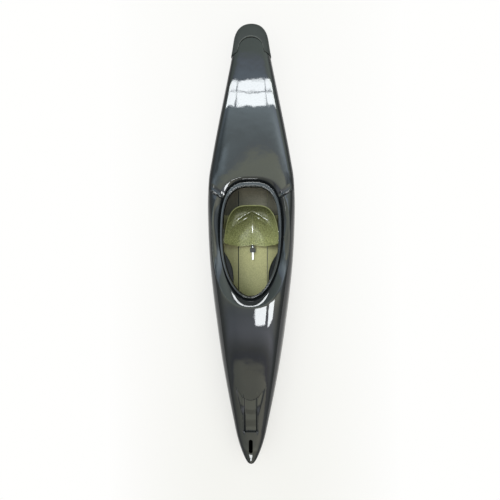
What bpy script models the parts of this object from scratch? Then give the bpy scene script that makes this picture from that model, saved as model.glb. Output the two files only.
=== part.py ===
"""Canoe polo kayak: laminated hull and deck, cockpit, hung seat, thigh braces, sliding footrest and bumper.

Metres, +Z up. The boat rests on its flat bottom at Z = 0, with the bow along -Y and the stern along +Y.
Left and right are the paddler's, so left is +X.
"""

import math

import bmesh
import bpy
import numpy as np
from mathutils import Euler, Matrix, Vector

# Whole boat
LENGTH = 3.000
BEAM = 0.596
LAMINATE = 0.003
FIT = 0.0003
JOINT_HEIGHT = 0.006

# Heights of the gunwale and of the keel
SHEER = 0.165
SHEER_RISE = 0.010
BOW_ROCKER = 0.118
STERN_ROCKER = 0.112
FLAT_LENGTH = 1.080
STEM_UP = 0.012
STEM_DOWN = 0.022

# Round ends of the plan outline
BOW_ROUND = 0.237
BOW_ROUND_POWER = 2.35
STERN_ROUND = 0.114
STERN_ROUND_POWER = 2.75

# Hull section
FLAT_SHARE = 0.55
BILGE_STEPS = 6

# Deck section
DECK_CROWN = 0.122
SHOULDER_POWER = 0.5
DECK_SHARES = (0.0, 0.19, 0.35, 0.39, 0.53, 0.58, 0.76, 0.89, 0.96, 1.0)

# Cockpit: the opening, the sunk ledge round it and the ledge's slope
COCKPIT_Y = 0.055
OPENING_HALF = 0.1895
OPENING_REAR = 0.334
OPENING_FRONT = 0.414
OPENING_POWERS = (2.6, 2.1)
RECESS_HALF = 0.243
RECESS_REAR = 0.398
RECESS_FRONT = 0.476
RECESS_POWERS = (2.8, 2.5)
RECESS_WALL_RUN = 0.010
RECESS_FILLET = 0.018
RECESS_FILLET_CLIMB = 0.6
LEDGE_HEIGHT = 0.218
LEDGE_SLOPE = 0.085
FRAME_REAR = 0.500
FRAME_FRONT = -0.500

# Hip steps, where the low rear deck meets the raised sides
HIP_TOP = 0.424
HIP_BOTTOM = 0.366
HIP_ANGLES = (51.0, 59.5)
REAR_CORNER_ANGLE = 38.0
FRONT_CORNER_ANGLE = 36.0

# Scoop in the bow deck
SCOOP_END = 0.230 - LENGTH / 2
SCOOP_LENGTH = 0.310
POCKET_LENGTH = 0.105
TONGUE_LENGTH = 0.090
SCOOP_STEP = 0.012
TONGUE_ROOT = SCOOP_END + SCOOP_LENGTH
SCOOP_BREAK = SCOOP_END + POCKET_LENGTH
SCOOP_MIDDLE = (TONGUE_ROOT + SCOOP_BREAK) / 2
SCOOP_DEPTH = 0.016
SCOOP_SIDE_DEPTH = 0.008
POCKET_DEPTH = 0.021
HORN_HALF = 0.107
WAIST_HALF = 0.054
CHANNEL_FLOOR_HALF = 0.0395
CHANNEL_HALF = 0.0475
SCOOP_SHARE = 0.58
CHANNEL_SHARES = (0.35, 0.39)
HORN_SHARE = 0.53

# Slot near the bow tip
SLOT_TO_TIP = 0.126
SLOT_Y = SLOT_TO_TIP - LENGTH / 2
SLOT_LENGTH = 0.094
SLOT_WIDTH = 0.027
SLOT_DEPTH = 0.045
SLOT_WALL = 0.002
SLOT_SINK = 0.001

# Coaming
COAMING_WALL = 0.003
COAMING_SKIRT = 0.035
COAMING_NECK = 0.030
LIP_REAR = 0.0355
LIP_SIDE = 0.0235
LIP_FRONT = 0.0130

# Seam band and stern bumper
SEAM_THICKNESS = 0.0012
SEAM_WIDTH = 0.011
BUMPER_LENGTH = 0.224
BUMPER_TIP = 0.020
BUMPER_SIDE = 0.007
NOTCH_HALF = 0.0885
NOTCH_DEPTH = 0.130
NOTCH_HEEL = 0.033
NOTCH_POWER = 0.9
NOTCH_STEPS = 12

# Floor layers
LINER = 0.001
LINER_EDGE = 0.2055
LINER_FRONT = -0.620
STRIP_X = 0.103
STRIP_WIDTH = 0.006
STRIP_HEIGHT = 0.002
STRIP_REAR = 0.380
STRIP_FRONT = -0.530

# Seat
SEAT_WALL = 0.003
SEAT_CENTRE = 0.030
SEAT_REAR = 0.239
SEAT_FRONT = -0.0055
SEAT_POWER = 3.6
SEAT_TAPER = 0.16
SEAT_FLOOR = 0.034
SEAT_RIM_REAR = 0.118
SEAT_RIM_SIDE = 0.132
SEAT_PAN_POWER = 1.3
SEAT_PAN_REACH = 0.9
SEAT_CLIMB = 3.2
SEAT_RIDGE = 0.008
SEAT_RIDGE_WIDTH = 0.018
SEAT_LOBE = 0.0095

# Seat hangers and their bolts
HANGER_THICKNESS = 0.0025
HANGER_TOP_LENGTH = 0.120
HANGER_FOOT_LENGTH = 0.090
HANGER_FOOT = 0.088
BOLT_SPACING = 0.060
BOLT_DROP = 0.019
BOLT_RADIUS = 0.003
BOLT_CLEARANCE = 0.0004
BOLT_HEAD_RADIUS = 0.0055
BOLT_HEAD = 0.0032
BOLT_NUT = 0.005
SEAT_TRAVEL = 0.020

# Rail and clamp in front of the seat
RAIL_WIDTH = 0.018
RAIL_HEIGHT = 0.008
RAIL_FRONT = -0.112
RAIL_REAR = 0.060
CLAMP_WIDTH = 0.039
CLAMP_LENGTH = 0.031
CLAMP_FRONT = -0.0574
CLAMP_HEIGHT = 0.016
TONGUE_WIDTH = 0.022
TONGUE_REAR = 0.030
CLAMP_BOLT_Y = -0.0185
DOME_RADIUS = 0.008
DOME_HEIGHT = 0.006

# Thigh braces
BRACE_WALL = 0.004
BRACE_REAR = -0.055
BRACE_FRONT = -0.265
BRACE_REACH = 0.033
BRACE_BACK = 0.026
BRACE_LIP = 0.014

# Footrest
FOOT_RAIL_X = 0.134
FOOT_RAIL_Z = 0.105
FOOT_RAIL_WALL = 0.0025
FOOT_RAIL_HEIGHT = 0.024
FOOT_RAIL_DEPTH = 0.012
FOOT_RAIL_REAR = -0.630
FOOT_RAIL_FRONT = -0.930
FOOT_Y = -0.780
FOOT_TRAVEL = 0.100
SHOE_LENGTH = 0.060
SHOE_HEAD = 0.006
SHOE_HEAD_HEIGHT = 0.030
PLATE_THICKNESS = 0.005
PLATE_TOP = 0.168
PLATE_FOOT = 0.030
PLATE_OFFSET = -0.017
KNOB_RADIUS = 0.013
KNOB_WIDTH = 0.014
KNOB_OFFSET = 0.014
SCREW_MARGIN = 0.008
SCREW_HEAD_RADIUS = 0.0036
SCREW_HEAD = 0.0018
SCREW_RADIUS = 0.0017
SCREW_LENGTH = 0.0060

# Foam pillars
PILLAR_GAP = 0.0005
STERN_PILLAR = (0.600, 1.200)
BOW_PILLAR_ROWS = (6, 10)


def smooth_curve(stations):
    """A curve through (place, value) pairs that never swings past them."""
    places, values = np.array(stations, dtype=float).T
    spans = np.diff(places)
    slopes = np.diff(values) / spans
    tangents = np.concatenate([slopes[:1], slopes])
    for i in range(1, len(slopes)):
        before, after = slopes[i - 1], slopes[i]
        tangents[i] = 0.0 if before * after <= 0 else 2 * before * after / (before + after)

    def value(place):
        place = min(max(place, places[0]), places[-1])
        i = min(int(np.searchsorted(places, place, side="right")) - 1, len(spans) - 1)
        t = (place - places[i]) / spans[i]
        hold = (1 + 2 * t) * (1 - t) ** 2 * values[i] + t * t * (3 - 2 * t) * values[i + 1]
        lean = t * (1 - t) ** 2 * tangents[i] - t * t * (1 - t) * tangents[i + 1]
        return hold + lean * spans[i]

    return value


# Places along the boat are shares of its half length, bow negative. Widths are shares of its half beam.
OUTLINE = smooth_curve((
    (-1.0, 0.178), (-0.842, 0.351), (-0.66, 0.540), (-0.514, 0.673), (-0.368, 0.781), (-0.223, 0.876),
    (-0.077, 0.950), (0.069, 0.989), (0.178, 1.0), (0.287, 0.979), (0.397, 0.894), (0.542, 0.757),
    (0.688, 0.606), (0.843, 0.447), (1.0, 0.287),
))
# Height of the deck's middle over the gunwale, as shares of its highest: behind the hip steps and before them
REAR_CROWN = smooth_curve(((0.2, 0.345), (0.6, 0.345), (0.85, 0.28), (1.0, 0.213)))
FRONT_CROWN = smooth_curve((
    (-1.0, 0.213), (-0.87, 0.303), (-0.73, 0.492), (-0.6, 0.697), (-0.4, 0.959), (-0.28, 1.0),
    (-0.12, 0.885), (0.03, 0.77), (0.24, 0.492), (0.4, 0.451),
))
# How square the deck's section is, from 2, round, upwards.
FULLNESS = smooth_curve((
    (-1.0, 2.6), (-0.6, 4.2), (-0.35, 4.0), (-0.15, 3.8), (0.1, 4.2), (0.35, 9.0), (1.0, 9.0),
))

HALF_LENGTH = LENGTH / 2
BUMPER_LEG = HALF_LENGTH - BUMPER_LENGTH
SKIN_HALF_BEAM = BEAM / 2 - SEAM_THICKNESS - FIT
BOW_END = -HALF_LENGTH + SEAM_THICKNESS + FIT
STERN_END = HALF_LENGTH - BUMPER_TIP - FIT


def rounding(y):
    """1 along the boat, and down to 0 at its tips, as the ends of the outline turn in."""
    bow = min(max((BOW_END + BOW_ROUND - y) / BOW_ROUND, 0.0), 1.0)
    stern = min(max((y - STERN_END + STERN_ROUND) / STERN_ROUND, 0.0), 1.0)
    at_bow = (1 - bow**BOW_ROUND_POWER) ** (1 / BOW_ROUND_POWER)
    at_stern = (1 - stern**STERN_ROUND_POWER) ** (1 / STERN_ROUND_POWER)
    return at_bow * at_stern


def half_beam(y):
    return SKIN_HALF_BEAM * OUTLINE(y / HALF_LENGTH) * rounding(y)


def sheer(y):
    return SHEER + SHEER_RISE * (y / HALF_LENGTH) ** 2


def keel(y):
    """Height of the bottom: flat amidships, lifted by the rocker, and drawn up to the stem at the tips."""
    run = max(abs(y) - FLAT_LENGTH / 2, 0.0) / (HALF_LENGTH - FLAT_LENGTH / 2)
    bottom = (BOW_ROCKER if y < 0 else STERN_ROCKER) * run**2
    depth = sheer(y) - bottom
    return sheer(y) - STEM_DOWN - (depth - STEM_DOWN) * rounding(y)


def deck_height(share, y, raised, drop=0.0):
    """Height of the deck at a share of the half beam. raised is 0 on the low rear deck and 1 elsewhere."""
    place = y / HALF_LENGTH
    full = rounding(y)
    rise = DECK_CROWN * (raised * FRONT_CROWN(place) + (1 - raised) * REAR_CROWN(place))
    rise = STEM_UP + (rise - STEM_UP) * full
    power = 1 + (FULLNESS(place) - 1) * full
    shoulder = 1 + (SHOULDER_POWER - 1) * full
    profile = (1 - min(share, 1.0) ** power) ** shoulder
    return sheer(y) + JOINT_HEIGHT + (rise - JOINT_HEIGHT) * profile - drop


def ledge(y):
    """Height of the sunk ledge round the cockpit."""
    return LEDGE_HEIGHT - LEDGE_SLOPE * y


def egg(turn, half, rear, front, powers, grow=0.0):
    """A point in plan on the cockpit's outline: turn runs from 0 at its rear to 180 degrees at its front."""
    angle = math.radians(turn)
    behind = turn <= 90
    power = powers[0] if behind else powers[1]
    reach = (rear if behind else front) + grow
    x = (half + grow) * max(math.sin(angle), 0.0) ** (2 / power)
    y = reach * abs(math.cos(angle)) ** (2 / power)
    return x, COCKPIT_Y + (y if behind else -y)


def opening(turn, grow=0.0):
    return egg(turn, OPENING_HALF, OPENING_REAR, OPENING_FRONT, OPENING_POWERS, grow)


def recess(turn, grow=0.0):
    return egg(turn, RECESS_HALF, RECESS_REAR, RECESS_FRONT, RECESS_POWERS, grow)


def steps(start, end, count):
    """Evenly spaced places, without the first."""
    return [start + (end - start) * i / count for i in range(1, count + 1)]


def end_steps(start, end, count):
    """Places that crowd towards the end, where the outline turns, without the first."""
    return [end + (start - end) * (1 - i / count) ** 2.4 for i in range(1, count + 1)]


# Rows across the boat that hull and deck share, so that their facets meet
STERN_ROWS = [FRAME_REAR] + steps(FRAME_REAR, BUMPER_LEG, 6) + end_steps(BUMPER_LEG, STERN_END, 9)
SIDE_ROWS = (
    [FRAME_REAR, HIP_TOP, (HIP_TOP + HIP_BOTTOM) / 2, HIP_BOTTOM]
    + steps(HIP_BOTTOM, LINER_EDGE, 2)
    + steps(LINER_EDGE, COCKPIT_Y, 2)
    + steps(COCKPIT_Y, FRAME_FRONT, 7)
)
SIDE_ANGLES = (
    [REAR_CORNER_ANGLE, HIP_ANGLES[0], sum(HIP_ANGLES) / 2, HIP_ANGLES[1]]
    + steps(HIP_ANGLES[1], 90, 4)
    + steps(90, 180 - FRONT_CORNER_ANGLE, 7)
)
SIDE_RAISED = [0.0, 0.0, 0.5, 1.0] + [1.0] * 11
# Each bow row: its place, how far it is swept into the tongue's curve, and the scoop's two depths there
BOW_ROWS = (
    [(y, i / 5, 0.0, 0.0) for i, y in enumerate([FRAME_FRONT] + steps(FRAME_FRONT, TONGUE_ROOT, 5))]
    + [
        (TONGUE_ROOT - SCOOP_STEP, 1.0, 0.65 * SCOOP_DEPTH, 0.7 * SCOOP_SIDE_DEPTH),
        (SCOOP_MIDDLE, 0.55, 0.8 * SCOOP_DEPTH, SCOOP_SIDE_DEPTH),
        (SCOOP_BREAK, 0.0, SCOOP_DEPTH, 0.3 * SCOOP_SIDE_DEPTH),
        (SCOOP_END, 0.0, POCKET_DEPTH, 0.1 * SCOOP_SIDE_DEPTH),
        (SCOOP_END - SCOOP_STEP, 0.0, 0.0, 0.0),
    ]
    + [(y, 0.0, 0.0, 0.0) for y in end_steps(SCOOP_END - SCOOP_STEP, BOW_END, 8)]
)
GUNWALE_ROWS = STERN_ROWS[:0:-1] + SIDE_ROWS + [row[0] for row in BOW_ROWS[1:]]


def hull_section(y):
    """Points of the hull's half section from the keel to the gunwale."""
    half, low, top = half_beam(y), keel(y), sheer(y)
    flat = FLAT_SHARE * half
    depth = top - JOINT_HEIGHT - low
    angles = [math.pi / 2 * i / BILGE_STEPS for i in range(BILGE_STEPS + 1)]
    bilge = [(flat + (half - flat) * math.sin(a), y, low + depth * (1 - math.cos(a))) for a in angles]
    return [(0.0, y, low)] + bilge + [(half, y, top)]


def deck_section(y, raised):
    """Points of the deck's half section from the middle to the gunwale."""
    half = half_beam(y)
    crown = [(share * half, y, deck_height(share, y, raised)) for share in DECK_SHARES]
    return crown + [(half, y, sheer(y))]


def scoop_share(share, y):
    """Where a column runs on the bow deck: along the channel's walls and the scoop's edge."""
    at = min(max(y, SCOOP_END), TONGUE_ROOT)
    edge = HORN_HALF + (WAIST_HALF - HORN_HALF) * min((TONGUE_ROOT - at) / (TONGUE_ROOT - SCOOP_BREAK), 1.0)
    lines = [half / half_beam(at) for half in (CHANNEL_FLOOR_HALF, CHANNEL_HALF, edge)]
    blend = min((FRAME_FRONT - y) / (FRAME_FRONT - TONGUE_ROOT), 1.0)
    before = (*CHANNEL_SHARES, SCOOP_SHARE)
    knots = [a + (b - a) * blend for a, b in zip(before, lines)]
    return float(np.interp(share, (0.0, *before, 1.0), (0.0, *knots, 1.0)))


def bow_deck_section(y, sweep, depth, side_depth):
    """A row of the bow deck: bent into the tongue's curve, and sunk inside the scoop."""
    edge = scoop_share(SCOOP_SHARE, y)
    points = []
    for share in DECK_SHARES:
        inside = max(0.0, 1 - (scoop_share(share, y) / edge) ** 2)
        place = y - TONGUE_LENGTH * sweep * inside
        if share <= CHANNEL_SHARES[0]:
            drop = depth
        elif share <= HORN_SHARE:
            drop = side_depth
        else:
            drop = 0.0
        out = scoop_share(share, place)
        points.append((out * half_beam(place), place, deck_height(out, place, 1.0, drop)))
    return points + [(half_beam(y), y, sheer(y))]


def cockpit_lines():
    """For each line out from the cockpit: its turn, its far end in plan, and how far it is raised."""
    lines = []
    for share in DECK_SHARES[:-1]:
        lines.append((REAR_CORNER_ANGLE * share, share * half_beam(FRAME_REAR), FRAME_REAR, 0.0))
    for turn, y, raised in zip(SIDE_ANGLES, SIDE_ROWS, SIDE_RAISED):
        lines.append((turn, half_beam(y), y, raised))
    for share in DECK_SHARES[-2::-1]:
        lines.append((180 - FRONT_CORNER_ANGLE * share, share * half_beam(FRAME_FRONT), FRAME_FRONT, 1.0))
    return lines


COCKPIT_LINES = cockpit_lines()


def recess_wall(turn, far_x, far_y, raised):
    """The point where the fillet at the foot of the recess runs into its wall."""
    foot_x, foot_y = recess(turn, -RECESS_WALL_RUN)
    top_x, top_y = recess(turn)
    foot = Vector((foot_x, foot_y, ledge(foot_y)))
    top = Vector((top_x, top_y, deck_height(top_x / half_beam(top_y), top_y, raised)))
    return tuple(foot.lerp(top, RECESS_FILLET_CLIMB))


def cockpit_grid():
    """Rings round the cockpit, from the deck's inner edge out to the frame that the other rows start from."""
    edge = [opening(line[0], COAMING_WALL + FIT) for line in COCKPIT_LINES]
    flat = [recess(line[0], -RECESS_WALL_RUN - RECESS_FILLET) for line in COCKPIT_LINES]
    rings = [[(x, y, ledge(y)) for x, y in ring] for ring in (edge, flat)]
    rings.append([recess_wall(*line) for line in COCKPIT_LINES])
    for out in (0.0, 0.3, 0.6, 0.82, 0.94, 1.0):
        ring = []
        for turn, far_x, far_y, raised in COCKPIT_LINES:
            near_x, near_y = recess(turn)
            x = near_x + (far_x - near_x) * out
            y = near_y + (far_y - near_y) * out
            ring.append((x, y, deck_height(x / half_beam(y), y, raised)))
        rings.append(ring)
    return rings


def place_mesh(name, mesh, material, collection):
    obj = bpy.data.objects.new(name, mesh)
    collection.objects.link(obj)
    if material:
        mesh.materials.append(material)
    return obj


def surface(name, grids, towards, material, collection):
    """An open surface of quads through grids of points, with its faces turned towards a direction."""
    work = bmesh.new()
    for grid in grids:
        rows = [[work.verts.new(point) for point in row] for row in grid]
        for near, far in zip(rows, rows[1:]):
            for j in range(len(near) - 1):
                work.faces.new((near[j], far[j], far[j + 1], near[j + 1]))
    bmesh.ops.remove_doubles(work, verts=work.verts, dist=1e-5)
    bmesh.ops.dissolve_degenerate(work, edges=work.edges, dist=1e-6)
    bmesh.ops.recalc_face_normals(work, faces=work.faces)
    work.normal_update()
    leaning = sum(face.normal.dot(Vector(towards)) * face.calc_area() for face in work.faces)
    if leaning < 0:
        bmesh.ops.reverse_faces(work, faces=work.faces)
    mesh = bpy.data.meshes.new(name)
    work.to_mesh(mesh)
    work.free()
    return place_mesh(name, mesh, material, collection)


def loft(name, loops, material, collection):
    """A closed body through closed loops of points, with a face over each end."""
    work = bmesh.new()
    rings = [[work.verts.new(point) for point in loop] for loop in loops]
    count = len(rings[0])
    for near, far in zip(rings, rings[1:]):
        for j in range(count):
            k = (j + 1) % count
            work.faces.new((near[j], far[j], far[k], near[k]))
    work.faces.new(rings[0])
    work.faces.new(rings[-1])
    bmesh.ops.recalc_face_normals(work, faces=work.faces)
    mesh = bpy.data.meshes.new(name)
    work.to_mesh(mesh)
    work.free()
    return place_mesh(name, mesh, material, collection)


def mirror(obj):
    modifier = obj.modifiers.new("Mirror", "MIRROR")
    modifier.merge_threshold = 0.00001
    modifier.use_clip = True


def thicken(obj, thickness, side):
    modifier = obj.modifiers.new("Solidify", "SOLIDIFY")
    modifier.thickness = thickness
    modifier.offset = side
    return modifier


def cut(obj, cutter):
    modifier = obj.modifiers.new(f"Cut by {cutter.name}", "BOOLEAN")
    modifier.operation = "DIFFERENCE"
    modifier.solver = "EXACT"
    modifier.object = cutter


def smooth(obj, degrees=35):
    obj.data.shade_smooth()
    obj.data.set_sharp_from_angle(angle=math.radians(degrees))


def material(name, colour, roughness, metallic=0.0, coat=0.0):
    made = bpy.data.materials.new(name)
    made.use_nodes = True
    shader = made.node_tree.nodes["Principled BSDF"]
    shader.inputs["Base Color"].default_value = (*colour, 1)
    shader.inputs["Roughness"].default_value = roughness
    shader.inputs["Metallic"].default_value = metallic
    shader.inputs["Coat Weight"].default_value = coat
    return made


def inset(grid, distance):
    """The grid moved into the boat along its normals. Points of the middle plane stay on it."""
    points = np.array(grid, dtype=float)
    normals = np.cross(np.gradient(points, axis=0), np.gradient(points, axis=1))
    normals[abs(points[:, :, 0]) < 1e-5, 0] = 0.0
    normals[np.linalg.norm(normals, axis=2) < 1e-12] = (0.0, 1.0, 0.0)
    normals /= np.linalg.norm(normals, axis=2, keepdims=True)
    core = points * (0.0, 1.0, 0.0)
    core[:, :, 1] = np.clip(core[:, :, 1], BOW_END + BOW_ROUND, STERN_END - STERN_ROUND)
    core[:, :, 2] = SHEER
    facing = np.sign(np.sum(normals * (core - points), axis=2, keepdims=True))
    return points + distance * facing * normals


def box(name, low, high, material, collection, bevel=0.0):
    """A block between two corners, with its edges rounded."""
    low, high = Vector(low), Vector(high)
    work = bmesh.new()
    bmesh.ops.create_cube(work, size=1.0)
    bmesh.ops.scale(work, vec=high - low, verts=work.verts)
    mesh = bpy.data.meshes.new(name)
    work.to_mesh(mesh)
    work.free()
    obj = place_mesh(name, mesh, material, collection)
    obj.location = (low + high) / 2
    if bevel:
        modifier = obj.modifiers.new("Bevel", "BEVEL")
        modifier.width = bevel
        modifier.segments = 2
        smooth(obj)
    return obj


def turned(name, profile, sides, material, collection):
    """A turned piece: the profile runs down its outer side, and starts and ends on the axis."""
    mesh = bpy.data.meshes.new(name)
    edges = [(i, i + 1) for i in range(len(profile) - 1)]
    mesh.from_pydata([(radius, 0.0, height) for radius, height in profile], edges, [])
    obj = place_mesh(name, mesh, material, collection)
    screw = obj.modifiers.new("Screw", "SCREW")
    screw.steps = sides
    screw.render_steps = sides
    screw.use_merge_vertices = True
    screw.merge_threshold = 0.00005
    screw.use_smooth_shade = True
    return obj


def aim(obj, place, direction):
    """Puts a turned piece at a place with its top towards a direction."""
    obj.location = place
    obj.rotation_euler = Vector(direction).to_track_quat("Z", "Y").to_euler()


def rounded(corners, radius, arc=3):
    """A closed outline with a round at each corner."""
    points = []
    count = len(corners)
    for i, corner in enumerate(corners):
        here = Vector(corner)
        before = (Vector(corners[i - 1]) - here).normalized()
        after = (Vector(corners[(i + 1) % count]) - here).normalized()
        half_angle = before.angle(after) / 2
        reach = radius / math.tan(half_angle)
        centre = here + (before + after).normalized() * radius / math.sin(half_angle)
        start = here + before * reach - centre
        end = here + after * reach - centre
        for step in range(arc + 1):
            mixed = start.lerp(end, step / arc).normalized() * radius
            points.append(tuple(centre + mixed))
    return points


def stadium(length, width, arc=7):
    """A slot's outline: its long side along the second axis, with half round ends."""
    radius = width / 2
    straight = length / 2 - radius
    points = []
    for end in (1, -1):
        for step in range(arc + 1):
            angle = math.pi * step / arc + (0 if end > 0 else math.pi)
            points.append((radius * math.cos(angle), end * straight + radius * math.sin(angle)))
    return points


def plate(name, outlines, thickness, material, collection):
    """A flat piece from outlines in its own plane: the first is its edge, and the rest are holes."""
    curve = bpy.data.curves.new(name, "CURVE")
    curve.dimensions = "2D"
    curve.fill_mode = "BOTH"
    curve.extrude = thickness / 2
    for outline in outlines:
        spline = curve.splines.new("POLY")
        spline.points.add(len(outline) - 1)
        for point, (x, y) in zip(spline.points, outline):
            point.co = (x, y, 0.0, 1.0)
        spline.use_cyclic_u = True
    obj = bpy.data.objects.new(name, curve)
    collection.objects.link(obj)
    curve.materials.append(material)
    return obj


def as_mesh(obj):
    """The curve object made a mesh with its caps welded, so that it can be cut."""
    graph = bpy.context.evaluated_depsgraph_get()
    mesh = bpy.data.meshes.new_from_object(obj.evaluated_get(graph))
    work = bmesh.new()
    work.from_mesh(mesh)
    bmesh.ops.remove_doubles(work, verts=work.verts, dist=1e-5)
    work.to_mesh(mesh)
    work.free()
    name, matrix = obj.name, obj.matrix_world.copy()
    collection = obj.users_collection[0]
    bpy.data.objects.remove(obj)
    made = place_mesh(name, mesh, None, collection)
    made.matrix_world = matrix
    return made


# Turns a flat piece's own plane into the boat's: a plate along the boat, and a plate across it
ALONG_BOAT = Euler((math.pi / 2, 0.0, math.pi / 2))
ACROSS_BOAT = Euler((math.pi / 2, 0.0, 0.0))
SIDES = (("left", 1), ("right", -1))


def clear_scene():
    for obj in list(bpy.data.objects):
        bpy.data.objects.remove(obj)


def new_collection(name):
    made = bpy.data.collections.new(name)
    bpy.context.scene.collection.children.link(made)
    return made


def as_cutter(obj):
    obj.hide_render = True
    obj.display_type = "WIRE"
    return obj


def build_hull(parts, paint):
    hull = surface("hull_shell", [[hull_section(y) for y in GUNWALE_ROWS]], (0, 0, -1), paint, parts)
    for vertex in hull.data.vertices:
        if abs(vertex.co.z - sheer(vertex.co.y)) < FIT / 2:
            vertex.co.z -= FIT / 2
    mirror(hull)
    thicken(hull, LAMINATE, -1)
    smooth(hull, 50)


def slot_tilt():
    """The slope of the deck's middle along the slot."""
    rear, front = SLOT_Y + SLOT_LENGTH / 2, SLOT_Y - SLOT_LENGTH / 2
    return math.atan2(deck_height(0, rear, 1) - deck_height(0, front, 1), SLOT_LENGTH)


def build_deck(parts, cutters, paint):
    stern = [deck_section(y, 0.0) for y in STERN_ROWS]
    bow = [bow_deck_section(*row) for row in BOW_ROWS]
    joint = [[(half_beam(y), y, sheer(y) + up) for y in SIDE_ROWS] for up in (JOINT_HEIGHT, 0.0)]
    deck = surface("deck_shell", [stern, cockpit_grid(), joint, bow], (0, 0, 1), paint, parts)
    for vertex in deck.data.vertices:
        if abs(vertex.co.z - sheer(vertex.co.y)) < FIT / 2:
            vertex.co.z += FIT / 2
    mirror(deck)
    thicken(deck, LAMINATE, -1)
    smooth(deck, 30)
    outline = stadium(SLOT_LENGTH + 2 * FIT, SLOT_WIDTH + 2 * FIT)
    hole = plate("slot_cutter", [outline], SLOT_DEPTH, paint, cutters)
    hole.location = (0, SLOT_Y, deck_height(0, SLOT_Y, 1))
    hole.rotation_euler = (slot_tilt(), 0, 0)
    bpy.context.view_layer.update()
    cut(deck, as_cutter(as_mesh(hole)))


def build_slot_well(parts, paint):
    """An open-topped pocket that hangs in the slot's hole and closes it from below."""
    outline = stadium(SLOT_LENGTH, SLOT_WIDTH)
    work = bmesh.new()
    top = [work.verts.new((x, y, 0.0)) for x, y in outline]
    foot = [work.verts.new((x, y, -SLOT_DEPTH)) for x, y in outline]
    for i in range(len(outline)):
        k = (i + 1) % len(outline)
        work.faces.new((top[i], foot[i], foot[k], top[k]))
    work.faces.new(foot)
    bmesh.ops.recalc_face_normals(work, faces=work.faces)
    mesh = bpy.data.meshes.new("bow_slot_well")
    work.to_mesh(mesh)
    work.free()
    well = place_mesh("bow_slot_well", mesh, paint, parts)
    well.location = (0, SLOT_Y, deck_height(0, SLOT_Y, 1) - SLOT_SINK)
    well.rotation_euler = (slot_tilt(), 0, 0)
    thicken(well, SLOT_WALL, -1)
    smooth(well)


def build_seam_band(parts, paint):
    """The strip over the joint of hull and deck, from one leg of the bumper round the bow to the other."""
    rows = [y for y in GUNWALE_ROWS if y <= BUMPER_LEG + FIT]
    rows[0] = BUMPER_LEG - FIT
    outline = [(half_beam(y), y) for y in rows]
    grid = []
    for i, (x, y) in enumerate(outline):
        before = Vector(outline[max(i - 1, 0)])
        after = Vector(outline[i + 1]) if i + 1 < len(outline) else Vector((-before.x, before.y))
        out = Vector((before.y - after.y, after.x - before.x)).normalized()
        middle = (x + FIT * out.x, y + FIT * out.y)
        grid.append([(*middle, sheer(y) + up) for up in (-SEAM_WIDTH / 2, SEAM_WIDTH / 2)])
    band = surface("seam_band", [grid], (1, 0, 0), paint, parts)
    mirror(band)
    thicken(band, SEAM_THICKNESS, 1)
    smooth(band)


def build_bumper(parts, cutters, paint):
    """The soft cap: the boat's own skin at the stern grown outwards, thin on its legs, thick at its tip."""
    rows = [y for y in GUNWALE_ROWS if y >= BUMPER_LEG - FIT]
    grid = []
    for y in rows:
        low = hull_section(y)
        high = deck_section(y, 0.0)
        grid.append(low + high[-2::-1])
    grown = inset(grid, -FIT)
    grown[0, :, 0] = 0.0
    cap = surface("stern_bumper", [grown], (0, 1, 0), paint, parts)
    weights = cap.vertex_groups.new(name="thickness")
    length = STERN_END - BUMPER_LEG
    for vertex in cap.data.vertices:
        along = min(max((vertex.co.y - BUMPER_LEG) / length, 0.0), 1.0)
        share = BUMPER_SIDE / BUMPER_TIP
        weights.add([vertex.index], share + (1 - share) * along**2, "REPLACE")
    mirror(cap)
    shell = thicken(cap, BUMPER_TIP, 1)
    shell.vertex_group = weights.name
    smooth(cap, 50)
    notch = []
    for i in range(NOTCH_STEPS + 1):
        angle = math.pi * i / NOTCH_STEPS
        across = NOTCH_HALF * math.cos(angle)
        along = (NOTCH_DEPTH - NOTCH_HEEL) * max(math.sin(angle), 0.0) ** NOTCH_POWER
        notch.append((across, BUMPER_LEG + NOTCH_HEEL + along))
    leg = half_beam(BUMPER_LEG) + BUMPER_SIDE
    front = BUMPER_LEG - BUMPER_LENGTH
    outer = [(-leg, BUMPER_LEG), (-leg, front), (leg, front), (leg, BUMPER_LEG)]
    cutter = plate("bumper_cutter", [notch + outer], 2 * BUMPER_LENGTH, paint, cutters)
    cutter.location.z = SHEER
    bpy.context.view_layer.update()
    cut(cap, as_cutter(as_mesh(cutter)))


def build_coaming(parts, cutters, paint):
    """The cockpit's rim: a skirt through the deck, a neck and a lip that turns out and down."""
    neck = COAMING_NECK
    rings = []
    for turn in [line[0] for line in COCKPIT_LINES]:
        towards_rear = max(math.cos(math.radians(turn)), 0.0) ** 2
        towards_front = max(-math.cos(math.radians(turn)), 0.0) ** 2
        lip = LIP_SIDE + (LIP_REAR - LIP_SIDE) * towards_rear + (LIP_FRONT - LIP_SIDE) * towards_front
        path = (
            (0.0, -COAMING_SKIRT), (0.0, neck - 0.004), (0.0012, neck - 0.0012), (0.004, neck),
            (lip - 0.003, neck), (lip, neck - 0.002), (lip + 0.0005, neck - 0.006),
        )
        ring = []
        for out, up in path:
            x, y = opening(turn, out)
            ring.append((x, y, ledge(y) + up))
        rings.append(ring)
    coaming = surface("cockpit_coaming", [rings], (0, 0, 1), paint, parts)
    mirror(coaming)
    thicken(coaming, COAMING_WALL, -1)
    smooth(coaming, 40)
    for side, sign in SIDES:
        for end, y in bolt_places():
            shank = pin(BOLT_RADIUS + BOLT_CLEARANCE, 0.02)
            hole = turned(f"bolt_cutter_{side}_{end}", shank, 12, paint, cutters)
            aim(hole, (sign * (OPENING_HALF - 0.01), y, bolt_height()), (sign, 0, 0))
            cut(coaming, as_cutter(hole))


def pin(radius, length):
    return ((0.0, length), (radius, length), (radius, 0.0), (0.0, 0.0))


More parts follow.
